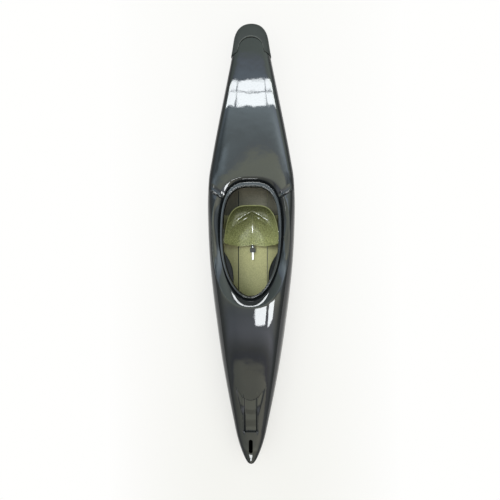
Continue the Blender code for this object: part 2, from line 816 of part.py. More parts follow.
def bolt_places():
    return (("rear", COCKPIT_Y + BOLT_SPACING / 2), ("front", COCKPIT_Y - BOLT_SPACING / 2))


def bolt_height():
    return ledge(COCKPIT_Y) - BOLT_DROP


def hanger_inner():
    """The distance from the middle plane to the hangers' inner faces, just outside the skirt."""
    return OPENING_HALF + COAMING_WALL + FIT


def build_hangers(parts, metal, steel):
    middle = COCKPIT_Y
    top = bolt_height() + BOLT_RADIUS + 0.0045
    foot, long_half, short_half = HANGER_FOOT, HANGER_TOP_LENGTH / 2, HANGER_FOOT_LENGTH / 2
    corners = [
        (middle - long_half, top), (middle - long_half, top - 0.022), (middle - short_half, foot),
        (middle + short_half, foot), (middle + long_half, top - 0.022), (middle + long_half, top),
    ]
    slot_width = 2 * (BOLT_RADIUS + BOLT_CLEARANCE)
    slot = stadium(SEAT_TRAVEL * 2 + slot_width, slot_width, 4)
    slots = [[(y + long, bolt_height() + up) for up, long in slot] for _, y in bolt_places()]
    for side, sign in SIDES:
        outlines = [rounded(corners, 0.003)] + slots
        hanger = plate(f"seat_hanger_{side}", outlines, HANGER_THICKNESS, metal, parts)
        hanger.rotation_euler = ALONG_BOAT
        hanger.location.x = sign * (hanger_inner() + HANGER_THICKNESS / 2)
        for end, y in bolt_places():
            grip = opening_half_at(y)
            nut = hanger_inner() + HANGER_THICKNESS + FIT
            head = grip - FIT
            profile = (
                (0.0, nut + BOLT_NUT), (BOLT_HEAD_RADIUS, nut + BOLT_NUT), (BOLT_HEAD_RADIUS, nut),
                (BOLT_RADIUS, nut), (BOLT_RADIUS, head), (BOLT_HEAD_RADIUS, head),
                (BOLT_HEAD_RADIUS, head - 0.3 * BOLT_HEAD), (0.6 * BOLT_HEAD_RADIUS, head - 0.85 * BOLT_HEAD),
                (0.0, head - BOLT_HEAD),
            )
            bolt = turned(f"seat_bolt_{side}_{end}", profile, 12, steel, parts)
            aim(bolt, (0, y, bolt_height()), (sign, 0, 0))


def opening_half_at(y):
    """Least half width of the opening over a bolt's head, on the facets that the coaming is made of."""
    places = [opening(line[0]) for line in COCKPIT_LINES][::-1]
    ends = (y - BOLT_HEAD_RADIUS, y + BOLT_HEAD_RADIUS)
    return min(float(np.interp(end, [p[1] for p in places], [p[0] for p in places])) for end in ends)


def seat_height(x, y, half):
    """Height of the seat's top face: an arrow-shaped pan, a rim round it and a ridge between the legs."""
    back = min(max(y - SEAT_CENTRE, 0.0) / SEAT_REAR, 1.0)
    side = min(x / (half * (1 - SEAT_TAPER * back)), 1.0)
    out = min((side**SEAT_POWER + back**SEAT_POWER) ** (1 / SEAT_POWER), 1.0)
    pan = min((side**SEAT_PAN_POWER + (back / SEAT_PAN_REACH) ** SEAT_PAN_POWER) ** (1 / SEAT_PAN_POWER), 1.0)
    climb = pan + (out - pan) * out**2
    rim = SEAT_RIM_SIDE + (SEAT_RIM_REAR - SEAT_RIM_SIDE) * back**2
    ridge = SEAT_RIDGE * math.exp(-x / SEAT_RIDGE_WIDTH) * max(0.0, 1 - back * 1.1)
    return SEAT_FLOOR + (rim - SEAT_FLOOR) * climb**SEAT_CLIMB + ridge


def build_seat(parts, paint):
    half = hanger_inner() - SEAT_WALL - FIT
    angles = [math.radians(a) for a in (0, 12, 26, 40, 54, 67, 79, 90)]
    curve = [(math.sin(a) ** (2 / SEAT_POWER), math.cos(a) ** (2 / SEAT_POWER)) for a in angles]
    stations = [(out * (1 - SEAT_TAPER * back), SEAT_CENTRE + SEAT_REAR * back) for out, back in curve]
    stations += [(1.0, y) for y in steps(SEAT_CENTRE, SEAT_FRONT, 2)]
    grid = []
    for width, y in stations:
        row = []
        for share in (0.0, 0.05, 0.12, 0.25, 0.42, 0.58, 0.72, 0.84, 0.93, 1.0):
            x = share * width * half
            near = max(0.0, (SEAT_CENTRE - y) / (SEAT_CENTRE - SEAT_FRONT))
            lobe = math.sin(math.pi * min(share / 0.85, 1.0)) ** 2 - 1.6 * max(share - 0.85, 0.0) / 0.15
            place = y - SEAT_LOBE * lobe * near
            row.append((x, place, seat_height(x, y, half)))
        grid.append(row)
    seat = surface("seat_shell", [grid], (0, 0, 1), paint, parts)
    mirror(seat)
    thicken(seat, SEAT_WALL, -1)
    smooth(seat, 60)


def floor_top():
    """Height of the floor liner's top face on the flat bottom."""
    return LAMINATE + FIT + LINER


def build_seat_rail(parts, cutters, chrome, metal, steel):
    base = floor_top() + FIT
    box(
        "seat_rail", (-RAIL_WIDTH / 2, RAIL_FRONT, base), (RAIL_WIDTH / 2, RAIL_REAR, base + RAIL_HEIGHT),
        chrome, parts, bevel=0.0025,
    )
    seat_under = SEAT_FLOOR - SEAT_WALL - FIT
    inner = RAIL_WIDTH / 2 + FIT
    clamp_rear = CLAMP_FRONT + CLAMP_LENGTH
    outer, under, top = CLAMP_WIDTH / 2, base + RAIL_HEIGHT + FIT, base + CLAMP_HEIGHT
    saddle = [
        (-outer, base), (-inner, base), (-inner, under), (inner, under),
        (inner, base), (outer, base), (outer, top), (-outer, top),
    ]
    block = plate("seat_clamp_block", [saddle], CLAMP_LENGTH, metal, parts)
    block.rotation_euler = ACROSS_BOAT
    block.location.y = CLAMP_FRONT + CLAMP_LENGTH / 2
    bpy.context.view_layer.update()
    block = as_mesh(block)
    block.data.materials.clear()
    block.data.materials.append(metal)
    tongue = box(
        "tongue_joint", (-TONGUE_WIDTH / 2, clamp_rear - 0.004, under),
        (TONGUE_WIDTH / 2, TONGUE_REAR, seat_under),
        metal, cutters,
    )
    join = block.modifiers.new("Tongue", "BOOLEAN")
    join.operation = "UNION"
    join.solver = "EXACT"
    join.object = as_cutter(tongue)
    hole = turned("clamp_bolt_cutter", pin(BOLT_RADIUS + BOLT_CLEARANCE, 0.04), 12, metal, cutters)
    hole.location = (0, CLAMP_BOLT_Y, base + RAIL_HEIGHT - 0.001)
    cut(block, as_cutter(hole))
    head = seat_under + FIT
    angles = [math.radians(a) for a in (0, 22, 45, 68, 90)]
    profile = [(DOME_RADIUS * math.sin(a), head + DOME_HEIGHT * math.cos(a)) for a in angles]
    profile += [(DOME_RADIUS, head), (BOLT_RADIUS, head), (BOLT_RADIUS, under), (0.0, under)]
    profile[4] = (DOME_RADIUS, head + 0.0008)
    bolt = turned("seat_clamp_bolt", profile, 20, steel, parts)
    bolt.location = (0, CLAMP_BOLT_Y, 0)


def build_floor(parts, front_paint, rear_paint, strip_paint):
    front_rows = [y for y in GUNWALE_ROWS if LINER_FRONT < y <= LINER_EDGE + FIT]
    rear_rows = [y for y in GUNWALE_ROWS if LINER_EDGE - FIT <= y <= FRAME_REAR]
    rear_rows[-1] += FIT
    liners = (("floor_liner", front_rows, front_paint), ("rear_floor_liner", rear_rows, rear_paint))
    for name, rows, paint in liners:
        grid = [hull_section(y)[:7] for y in rows]
        liner = surface(name, [inset(grid, LAMINATE + FIT)], (0, 0, 1), paint, parts)
        mirror(liner)
        thicken(liner, LINER, 1)
        smooth(liner, 60)
    base = floor_top() + FIT
    for side, sign in SIDES:
        low = (sign * STRIP_X - STRIP_WIDTH / 2, STRIP_FRONT, base)
        high = (sign * STRIP_X + STRIP_WIDTH / 2, STRIP_REAR, base + STRIP_HEIGHT)
        box(f"floor_strip_{side}", low, high, strip_paint, parts, bevel=0.0006)


def build_thigh_braces(parts, paint):
    """Curved plates bonded under the ledge: each passes behind the skirt, and in over the paddler's thigh."""
    count = 10
    for side, sign in SIDES:
        grid = []
        for i in range(count + 1):
            y = BRACE_REAR + (BRACE_FRONT - BRACE_REAR) * i / count
            reach = BRACE_REACH * math.sin(math.pi * i / count)
            skirt = opening_half_near(y)
            behind = skirt + COAMING_WALL + 5 * FIT
            under = ledge(y) - COAMING_SKIRT - 2 * FIT
            deck_under = ledge(y) - LAMINATE - FIT
            path = (
                (behind + BRACE_BACK, deck_under), (behind + 0.006, deck_under), (behind, deck_under - 0.005),
                (behind, under), (behind - 0.003, under - 0.002), (skirt - 0.5 * reach, under - 0.002),
                (skirt + 0.001 - reach, under - 0.005), (skirt - reach, under - BRACE_LIP),
            )
            grid.append([(sign * x, y, z) for x, z in path])
        brace = surface(f"thigh_brace_{side}", [grid], (0, 0, 1), paint, parts)
        thicken(brace, BRACE_WALL, -1)
        smooth(brace, 60)


def opening_half_near(y):
    """Half width of the opening at a place along the boat, on the coaming's facets."""
    places = [opening(line[0]) for line in COCKPIT_LINES][::-1]
    return float(np.interp(y, [p[1] for p in places], [p[0] for p in places]))


def build_footrest(parts, cutters, metal, plastic, foam, steel):
    z, wall = FOOT_RAIL_Z, FOOT_RAIL_WALL
    outer, inner_edge = FOOT_RAIL_X, FOOT_RAIL_X - FOOT_RAIL_DEPTH
    high, web = FOOT_RAIL_HEIGHT / 2, FOOT_RAIL_X - FOOT_RAIL_WALL
    rail_length = FOOT_RAIL_REAR - FOOT_RAIL_FRONT
    channel = [
        (outer, z - high), (outer, z + high), (inner_edge, z + high), (inner_edge, z + high - wall),
        (web, z + high - wall), (web, z - high + wall), (inner_edge, z - high + wall), (inner_edge, z - high),
    ]
    head_outer = inner_edge - FIT
    head_inner = head_outer - SHOE_HEAD
    head_high = SHOE_HEAD_HEIGHT / 2
    stem_high = high - wall - FIT
    shoe_outline = [
        (head_inner, z - head_high), (head_outer, z - head_high), (head_outer, z - stem_high),
        (web - FIT, z - stem_high), (web - FIT, z + stem_high), (head_outer, z + stem_high),
        (head_outer, z + head_high), (head_inner, z + head_high),
    ]
    carriage = bpy.data.objects.new("footrest_carriage", None)
    parts.objects.link(carriage)
    carriage.location = (0, FOOT_Y, z)
    for side, sign in SIDES:
        outline = [(sign * x, up) for x, up in channel]
        rail = plate(f"footrest_rail_{side}", [outline], rail_length, metal, parts)
        rail.rotation_euler = ACROSS_BOAT
        rail.location.y = (FOOT_RAIL_REAR + FOOT_RAIL_FRONT) / 2
        outline = [(sign * x, up) for x, up in shoe_outline]
        shoe = plate(f"footrest_shoe_{side}", [outline], SHOE_LENGTH, plastic, parts)
        shoe.rotation_euler = ACROSS_BOAT
        shoe.location.y = FOOT_Y
        bpy.context.view_layer.update()
        rail, shoe = as_mesh(rail), as_mesh(shoe)
        rail.data.materials.append(metal)
        shoe.data.materials.append(plastic)
        screw_hole = pin(BOLT_RADIUS + BOLT_CLEARANCE, 0.05)
        hole = turned(f"knob_cutter_{side}", screw_hole, 12, plastic, cutters)
        knob_y = FOOT_Y + KNOB_OFFSET
        aim(hole, (sign * (head_inner - 0.01), knob_y, z), (sign, 0, 0))
        cut(shoe, as_cutter(hole))
        build_knob(side, sign, knob_y, head_inner - FIT, web - FIT, parts, plastic)
        pad = build_rail_pad(side, sign, parts, foam)
        for end, y in (("rear", FOOT_RAIL_REAR - SCREW_MARGIN), ("front", FOOT_RAIL_FRONT + SCREW_MARGIN)):
            tip = outer + SCREW_LENGTH
            shank = pin(SCREW_RADIUS + FIT, tip - web + 0.002)
            sink = turned(f"screw_cutter_{side}_{end}", shank, 8, metal, cutters)
            aim(sink, (sign * (web - 0.001), y, z), (sign, 0, 0))
            as_cutter(sink)
            cut(rail, sink)
            cut(pad, sink)
            top = web - FIT
            profile = (
                (0.0, tip), (SCREW_RADIUS, tip), (SCREW_RADIUS, top), (SCREW_HEAD_RADIUS, top),
                (SCREW_HEAD_RADIUS, top - 0.4 * SCREW_HEAD), (0.6 * SCREW_HEAD_RADIUS, top - SCREW_HEAD),
                (0.0, top - SCREW_HEAD),
            )
            screw = turned(f"footrest_screw_{side}_{end}", profile, 10, steel, parts)
            aim(screw, (0, y, z), (sign, 0, 0))
    build_foot_plate(head_inner - FIT, parts, metal)


def build_knob(side, sign, y, face, tip, parts, paint):
    """A hand knob on a screw: it bears on the shoe, and its screw presses on the rail's web."""
    profile = (
        (0.0, tip), (BOLT_RADIUS, tip), (BOLT_RADIUS, face), (0.6 * KNOB_RADIUS, face),
        (KNOB_RADIUS, face - 0.15 * KNOB_WIDTH), (KNOB_RADIUS, face - 0.85 * KNOB_WIDTH),
        (0.85 * KNOB_RADIUS, face - KNOB_WIDTH), (0.0, face - KNOB_WIDTH),
    )
    knob = turned(f"footrest_knob_{side}", profile, 16, paint, parts)
    aim(knob, (0, y, FOOT_RAIL_Z), (sign, 0, 0))


def build_rail_pad(side, sign, parts, foam):
    """A wedge between the rail's straight back and the hull's side, which draws in towards the bow."""
    rows = [y for y in GUNWALE_ROWS if FOOT_RAIL_FRONT - 0.12 < y < FOOT_RAIL_REAR + 0.12]
    sides = inset([hull_section(y)[3:7] for y in rows], LAMINATE + FIT)
    back = FOOT_RAIL_X + FIT
    loops = []
    for y in [FOOT_RAIL_REAR] + [y for y in rows if FOOT_RAIL_FRONT < y < FOOT_RAIL_REAR] + [FOOT_RAIL_FRONT]:
        outer = []
        for column in (2, 3):
            line = sides[::-1, column]
            x = float(np.interp(y, line[:, 1], line[:, 0]))
            z = float(np.interp(y, line[:, 1], line[:, 2]))
            outer.append((x - FIT, z))
        (low_x, low_z), (high_x, high_z) = outer
        loop = [(back, low_z), (low_x, low_z), (high_x, high_z), (back, high_z)]
        loops.append([(sign * x, y, z) for x, z in loop])
    return loft(f"footrest_pad_{side}", loops, foam, parts)


def build_foot_plate(reach, parts, metal):
    """The plate that the feet press on, with its foot raised off the bottom and two holes through it."""
    corners = [(-reach, PLATE_FOOT), (reach, PLATE_FOOT), (reach, PLATE_TOP), (-reach, PLATE_TOP)]
    middle = (PLATE_FOOT + PLATE_TOP) / 2
    holes = []
    for sign in (1, -1):
        holes.append([(sign * 0.062 + x, middle + up) for up, x in stadium(0.070, 0.050, 6)])
    foot = plate("footrest_plate", [rounded(corners, 0.012)] + holes, PLATE_THICKNESS, metal, parts)
    foot.rotation_euler = ACROSS_BOAT
    foot.location.y = FOOT_Y + PLATE_OFFSET


def build_pillars(parts, foam):
    """Foam walls on the middle plane between the bottom and the deck."""
    stern_rows = [y for y in STERN_ROWS if STERN_PILLAR[0] <= y <= STERN_PILLAR[1]]
    top = inset([deck_section(y, 0.0) for y in STERN_ROWS], LAMINATE + PILLAR_GAP)
    chosen = [top[STERN_ROWS.index(y)] for y in stern_rows]
    build_pillar("stern_foam_pillar", chosen, parts, foam)
    bow = inset([bow_deck_section(*row) for row in BOW_ROWS], LAMINATE + PILLAR_GAP)
    build_pillar("bow_foam_pillar", bow[BOW_PILLAR_ROWS[0]:BOW_PILLAR_ROWS[1]], parts, foam)


def build_pillar(name, rows, parts, foam):
    loops = []
    for row in rows:
        (_, middle_y, middle_z), (x, y, z) = row[0], row[1]
        floor = [keel(place) + LAMINATE * 1.05 + 2 * PILLAR_GAP for place in (middle_y, y)]
        loops.append([
            (-x, y, floor[1]), (0, middle_y, floor[0]), (x, y, floor[1]),
            (x, y, z), (0, middle_y, middle_z), (-x, y, z),
        ])
    loft(name, loops, foam, parts)


def main():
    clear_scene()
    parts = new_collection("Canoe polo kayak")
    cutters = new_collection("Cutters")
    gel_coat = material("Dark gel coat", (0.045, 0.050, 0.058), 0.12, coat=1.0)
    hull_coat = material("Hull gel coat", (0.035, 0.038, 0.042), 0.15, coat=1.0)
    seam_coat = material("Seam band", (0.020, 0.022, 0.025), 0.20, coat=0.8)
    rubber = material("Bumper rubber", (0.045, 0.052, 0.052), 0.75)
    olive = material("Olive laminate", (0.150, 0.180, 0.050), 0.18, coat=1.0)
    pale_olive = material("Floor laminate", (0.300, 0.310, 0.150), 0.35, coat=0.3)
    grey_laminate = material("Rear floor laminate", (0.095, 0.095, 0.080), 0.40)
    black = material("Black laminate", (0.015, 0.015, 0.015), 0.25, coat=0.5)
    black_plastic = material("Black plastic", (0.020, 0.020, 0.022), 0.45)
    foam = material("Closed-cell foam", (0.550, 0.560, 0.560), 0.90)
    alloy = material("Aluminium", (0.550, 0.560, 0.570), 0.35, metallic=1.0)
    dark_alloy = material("Dark clamp metal", (0.120, 0.120, 0.120), 0.35, metallic=0.9)
    steel = material("Stainless steel", (0.700, 0.710, 0.720), 0.20, metallic=1.0)
    build_hull(parts, hull_coat)
    build_deck(parts, cutters, gel_coat)
    build_slot_well(parts, black)
    build_seam_band(parts, seam_coat)
    build_bumper(parts, cutters, rubber)
    build_coaming(parts, cutters, gel_coat)
    build_seat(parts, olive)
    build_hangers(parts, alloy, steel)
    build_seat_rail(parts, cutters, steel, dark_alloy, steel)
    build_floor(parts, pale_olive, grey_laminate, black)
    build_thigh_braces(parts, black)
    build_footrest(parts, cutters, alloy, black_plastic, foam, steel)
    build_pillars(parts, foam)


main()
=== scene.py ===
# %% [markdown]
# # Dressing a canoe polo kayak
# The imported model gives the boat's true size and its moving parts, but with few facets. A glossy boat
# shows every facet as a kink in its reflections. So this lesson sweeps nearly the same curves again with
# many more points, gives each finish its own shader, and sets a camera and lamps like a studio's.

import math

import bmesh
import bpy
import numpy as np
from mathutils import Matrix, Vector


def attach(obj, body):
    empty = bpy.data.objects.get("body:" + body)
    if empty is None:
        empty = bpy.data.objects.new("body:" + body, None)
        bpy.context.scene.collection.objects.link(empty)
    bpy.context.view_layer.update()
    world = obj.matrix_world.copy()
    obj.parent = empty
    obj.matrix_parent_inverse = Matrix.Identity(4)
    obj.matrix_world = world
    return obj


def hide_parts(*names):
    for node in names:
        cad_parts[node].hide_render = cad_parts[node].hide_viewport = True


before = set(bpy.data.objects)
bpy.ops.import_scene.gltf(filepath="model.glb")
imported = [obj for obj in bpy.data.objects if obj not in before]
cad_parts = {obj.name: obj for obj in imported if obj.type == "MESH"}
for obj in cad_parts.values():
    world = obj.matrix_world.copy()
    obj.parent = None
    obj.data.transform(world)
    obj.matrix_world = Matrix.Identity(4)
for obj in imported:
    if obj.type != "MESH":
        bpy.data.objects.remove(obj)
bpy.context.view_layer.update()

# %% [markdown]
# ## The lines of the boat
# A boat is drawn from a few long curves: the outline in plan, the keel, the gunwale and the crown of the
# deck. A curve through stations that never swings past them keeps the sides fair. Nearly the same curves
# drew the solids: where one was refined here, the piece lies within 13 mm of its solid.

# %% A fair curve through stations
def smooth_curve(stations):
    """A curve through (place, value) pairs that never swings past them."""
    places, values = np.array(stations, dtype=float).T
    spans = np.diff(places)
    slopes = np.diff(values) / spans
    tangents = np.concatenate([slopes[:1], slopes])
    for i in range(1, len(slopes)):
        before, after = slopes[i - 1], slopes[i]
        tangents[i] = 0.0 if before * after <= 0 else 2 * before * after / (before + after)

    def value(place):
        place = min(max(place, places[0]), places[-1])
        i = min(int(np.searchsorted(places, place, side="right")) - 1, len(spans) - 1)
        t = (place - places[i]) / spans[i]
        hold = (1 + 2 * t) * (1 - t) ** 2 * values[i] + t * t * (3 - 2 * t) * values[i + 1]
        lean = t * (1 - t) ** 2 * tangents[i] - t * t * (1 - t) * tangents[i + 1]
        return hold + lean * spans[i]

    return value


# %% Sizes of the shell, in metres
LENGTH = 3.000
BEAM = 0.596
LAMINATE = 0.003
FIT = 0.0003
JOINT_HEIGHT = 0.006
SHEER = 0.165
SHEER_RISE = 0.010
BOW_ROCKER = 0.118
STERN_ROCKER = 0.112
FLAT_LENGTH = 1.080
STEM_UP = 0.012
STEM_DOWN = 0.022
BOW_ROUND = 0.237
BOW_ROUND_POWER = 2.35
STERN_ROUND = 0.114
STERN_ROUND_POWER = 2.75
FLAT_SHARE = 0.55
DECK_CROWN = 0.122
SHOULDER_POWER = 0.5
SEAM_THICKNESS = 0.0012
BUMPER_LENGTH = 0.224
BUMPER_TIP = 0.020

OUTLINE = smooth_curve((
    (-1.0, 0.178), (-0.842, 0.351), (-0.66, 0.540), (-0.514, 0.673), (-0.368, 0.781), (-0.223, 0.876),
    (-0.077, 0.950), (0.069, 0.989), (0.178, 1.0), (0.287, 0.979), (0.397, 0.894), (0.542, 0.757),
    (0.688, 0.606), (0.843, 0.447), (1.0, 0.287),
))
REAR_CROWN = smooth_curve(((0.2, 0.345), (0.6, 0.345), (0.85, 0.28), (1.0, 0.213)))
FRONT_CROWN = smooth_curve((
    (-1.0, 0.05), (-0.965, 0.19), (-0.94, 0.245), (-0.87, 0.303), (-0.73, 0.492), (-0.6, 0.697),
    (-0.4, 0.959), (-0.28, 1.0), (-0.12, 0.885), (0.03, 0.77), (0.24, 0.492), (0.4, 0.451),
))
FULLNESS = smooth_curve((
    (-1.0, 2.6), (-0.6, 4.2), (-0.35, 4.0), (-0.15, 4.4), (0.0, 5.6), (0.2, 9.0), (1.0, 9.0),
))

HALF_LENGTH = LENGTH / 2
BUMPER_LEG = HALF_LENGTH - BUMPER_LENGTH
SKIN_HALF_BEAM = BEAM / 2 - SEAM_THICKNESS - FIT
BOW_END = -HALF_LENGTH + SEAM_THICKNESS + FIT
STERN_END = HALF_LENGTH - BUMPER_TIP - FIT


# %% Outline, keel, gunwale and deck
def rounding(y):
    """1 along the boat, and down to 0 at its tips, as the ends of the outline turn in."""
    bow = min(max((BOW_END + BOW_ROUND - y) / BOW_ROUND, 0.0), 1.0)
    stern = min(max((y - STERN_END + STERN_ROUND) / STERN_ROUND, 0.0), 1.0)
    at_bow = (1 - bow**BOW_ROUND_POWER) ** (1 / BOW_ROUND_POWER)
    at_stern = (1 - stern**STERN_ROUND_POWER) ** (1 / STERN_ROUND_POWER)
    return at_bow * at_stern


def half_beam(y):
    return SKIN_HALF_BEAM * OUTLINE(y / HALF_LENGTH) * rounding(y)


def sheer(y):
    return SHEER + SHEER_RISE * (y / HALF_LENGTH) ** 2


def keel(y):
    run = max(abs(y) - FLAT_LENGTH / 2, 0.0) / (HALF_LENGTH - FLAT_LENGTH / 2)
    bottom = (BOW_ROCKER if y < 0 else STERN_ROCKER) * run**2
    depth = sheer(y) - bottom
    return sheer(y) - STEM_DOWN - (depth - STEM_DOWN) * rounding(y)


def deck_height(share, y, raised, drop=0.0):
    """Height of the deck at a share of the half beam. raised is 0 on the low rear deck and 1 elsewhere."""
    place = y / HALF_LENGTH
    full = rounding(y)
    rise = DECK_CROWN * (raised * FRONT_CROWN(place) + (1 - raised) * REAR_CROWN(place))
    rise = STEM_UP + (rise - STEM_UP) * full
    power = 1 + (FULLNESS(place) - 1) * full
    shoulder = 1 + (SHOULDER_POWER - 1) * full
    profile = (1 - min(share, 1.0) ** power) ** shoulder
    return sheer(y) + JOINT_HEIGHT + (rise - JOINT_HEIGHT) * profile - drop


print("half beam amidships", round(half_beam(0.27), 4))
print("deck before the cockpit", round(deck_height(0, -0.42, 1), 4))

# %% [markdown]
# ## The cockpit's ring of curves
# The cockpit is an egg: square-shouldered behind, pointed in front. Two superellipses that meet at the
# widest place draw it. One egg is the opening, and a larger one is the recess that the rim stands in.

# %% The two eggs and the sloping ledge
COCKPIT_Y = 0.055
OPENING_HALF = 0.1895
OPENING_REAR = 0.334
OPENING_FRONT = 0.406
OPENING_POWERS = (3.0, 2.0)
RECESS_HALF = 0.256
RECESS_REAR = 0.398
RECESS_FRONT = 0.476
RECESS_POWERS = (2.8, 2.4)
GUTTER = 0.002
SIDE_CLIMB = (0.33, 0.45)
SIDE_SLOPE = 0.68
WALL_CLIMB = (0.20, 0.50)
WALL_SLOPE = 1.2
LEDGE_HEIGHT = 0.218
LEDGE_SLOPE = 0.085
COAMING_WALL = 0.003
COAMING_SKIRT = 0.035
COAMING_NECK = 0.030
LIP_REAR = 0.0335
LIP_SIDE = 0.0170
LIP_FRONT = 0.0125


def ledge(y):
    return LEDGE_HEIGHT - LEDGE_SLOPE * y


def egg(turn, half, rear, front, powers, grow=0.0):
    """A point in plan: turn runs from 0 at the rear to 180 degrees at the front."""
    angle = math.radians(turn)
    behind = turn <= 90
    power = powers[0] if behind else powers[1]
    reach = (rear if behind else front) + grow
    x = (half + grow) * max(math.sin(angle), 0.0) ** (2 / power)
    y = reach * abs(math.cos(angle)) ** (2 / power)
    return x, COCKPIT_Y + (y if behind else -y)


def opening(turn, grow=0.0):
    return egg(turn, OPENING_HALF, OPENING_REAR, OPENING_FRONT, OPENING_POWERS, grow)


def recess(turn):
    return egg(turn, RECESS_HALF, RECESS_REAR, RECESS_FRONT, RECESS_POWERS)


def lip_width(turn):
    """How far the rim's lip reaches out: broad behind, and narrow at the sides and in front."""
    rear = max(math.cos(math.radians(turn)), 0.0) ** 4
    front = max(-math.cos(math.radians(turn)), 0.0) ** 2
    return LIP_SIDE + (LIP_REAR - LIP_SIDE) * rear + (LIP_FRONT - LIP_SIDE) * front


print("cockpit opening", round(2 * OPENING_HALF, 3), "by", round(OPENING_REAR + OPENING_FRONT, 3))

# %% [markdown]
# ## Sweeping a skin
# A skin is a grid of points joined into quads. Only the left half is made. A Mirror modifier adds the
# right half and Solidify the thickness, and then the result is kept as a plain mesh, so that its sharp
# edges can be marked by angle for the shading.

# %% Places, objects and skins
CROWDING = 2.4
MERGE = 0.00002


def steps(start, *legs):
    """Places from a start on. Each leg says where it ends and how many even steps it takes."""
    places = [start]
    for end, count in legs:
        places += list(np.linspace(places[-1], end, count + 1)[1:])
    return places


def crowd(start, end, count, power=CROWDING):
    """Places that crowd towards the end, where an outline turns."""
    return [end + (start - end) * (1 - i / count) ** power for i in range(1, count + 1)]


def linked(name, data):
    """A new object in the scene."""
    obj = bpy.data.objects.new(name, data)
    bpy.context.scene.collection.objects.link(obj)
    return obj


def surface(name, grids, towards=(0, 0, 1)):
    """A skin through grids of points that share their edges. Its faces look towards a side."""
    work = bmesh.new()
    for grid in grids:
        rows = [[work.verts.new(point) for point in row] for row in grid]
        for near, far in zip(rows, rows[1:]):
            for j in range(len(near) - 1):
                work.faces.new((near[j], far[j], far[j + 1], near[j + 1]))
    bmesh.ops.remove_doubles(work, verts=work.verts, dist=MERGE)
    bmesh.ops.dissolve_degenerate(work, edges=work.edges, dist=1e-6)
    bmesh.ops.recalc_face_normals(work, faces=work.faces)
    work.normal_update()
    if sum(face.normal.dot(Vector(towards)) * face.calc_area() for face in work.faces) < 0:
        bmesh.ops.reverse_faces(work, faces=work.faces)
    mesh = bpy.data.meshes.new(name)
    work.to_mesh(mesh)
    work.free()
    return linked(name, mesh)


# %% Modifiers, and the mesh that they leave
def mirrored(obj):
    modifier = obj.modifiers.new("Mirror", "MIRROR")
    modifier.merge_threshold = MERGE
    modifier.use_clip = True
    return obj


def thickened(obj, thickness, side=-1, group=None):
    modifier = obj.modifiers.new("Solidify", "SOLIDIFY")
    modifier.thickness = thickness
    modifier.offset = side
    if group:
        modifier.vertex_group = group
    return obj


def bevelled(obj, width, segments=2, degrees=40):
    modifier = obj.modifiers.new("Bevel", "BEVEL")
    modifier.width = width
    modifier.segments = segments
    modifier.limit_method = "ANGLE"
    modifier.angle_limit = math.radians(degrees)
    return obj


def settled(obj, degrees):
    """Keeps what the modifiers made as a plain mesh, smooth but for its sharp edges."""
    graph = bpy.context.evaluated_depsgraph_get()
    made = bpy.data.meshes.new_from_object(obj.evaluated_get(graph))
    made.name = obj.name
    obj.modifiers.clear()
    obj.data = made
    made.shade_smooth()
    made.set_sharp_from_angle(angle=math.radians(degrees))
    return obj


def inset(grid, distance):
    """The grid moved into the boat along its normals. Points of the middle plane stay on it."""
    points = np.array(grid, dtype=float)
    normals = np.cross(np.gradient(points, axis=0), np.gradient(points, axis=1))
    normals[abs(points[:, :, 0]) < 1e-5, 0] = 0.0
    normals[np.linalg.norm(normals, axis=2) < 1e-12] = (0.0, 1.0, 0.0)
    normals /= np.linalg.norm(normals, axis=2, keepdims=True)
    core = points * (0.0, 1.0, 0.0)
    core[:, :, 1] = np.clip(core[:, :, 1], BOW_END + BOW_ROUND, STERN_END - STERN_ROUND)
    core[:, :, 2] = SHEER
    facing = np.sign(np.sum(normals * (core - points), axis=2, keepdims=True))
    return points + distance * facing * normals


# %% [markdown]
# ## Wiring shaders as sums
# A finish is easier to read as a sum than as a list of nodes. A small class wraps a socket, so that
# adding or multiplying sockets adds Math nodes. Every other node comes from one method, add.

# %% Wire
class Wire:
    """One output of a node. Arithmetic on it adds Math nodes."""

    def __init__(self, finish, socket):
        self.finish = finish
        self.socket = socket

    def maths(self, operation, *values):
        return self.finish.add("ShaderNodeMath", {"operation": operation}, dict(enumerate(values)))

    def __add__(self, other):
        return self.maths("ADD", self, other)

    def __radd__(self, other):
        return self.maths("ADD", other, self)

    def __sub__(self, other):
        return self.maths("SUBTRACT", self, other)

    def __rsub__(self, other):
        return self.maths("SUBTRACT", other, self)

    def __mul__(self, other):
        return self.maths("MULTIPLY", self, other)

    def __rmul__(self, other):
        return self.maths("MULTIPLY", other, self)

    def __truediv__(self, other):
        return self.maths("DIVIDE", self, other)

    def __mod__(self, other):
        return self.maths("FLOORED_MODULO", self, other)

    def __lt__(self, other):
        return self.maths("LESS_THAN", self, other)

    def __gt__(self, other):
        return self.maths("GREATER_THAN", self, other)

    def __pow__(self, other):
        return self.maths("POWER", self, other)

    def __rpow__(self, other):
        return self.maths("POWER", other, self)

    def floor(self):
        return self.maths("FLOOR", self)

    def sine(self):
        return self.maths("SINE", self)


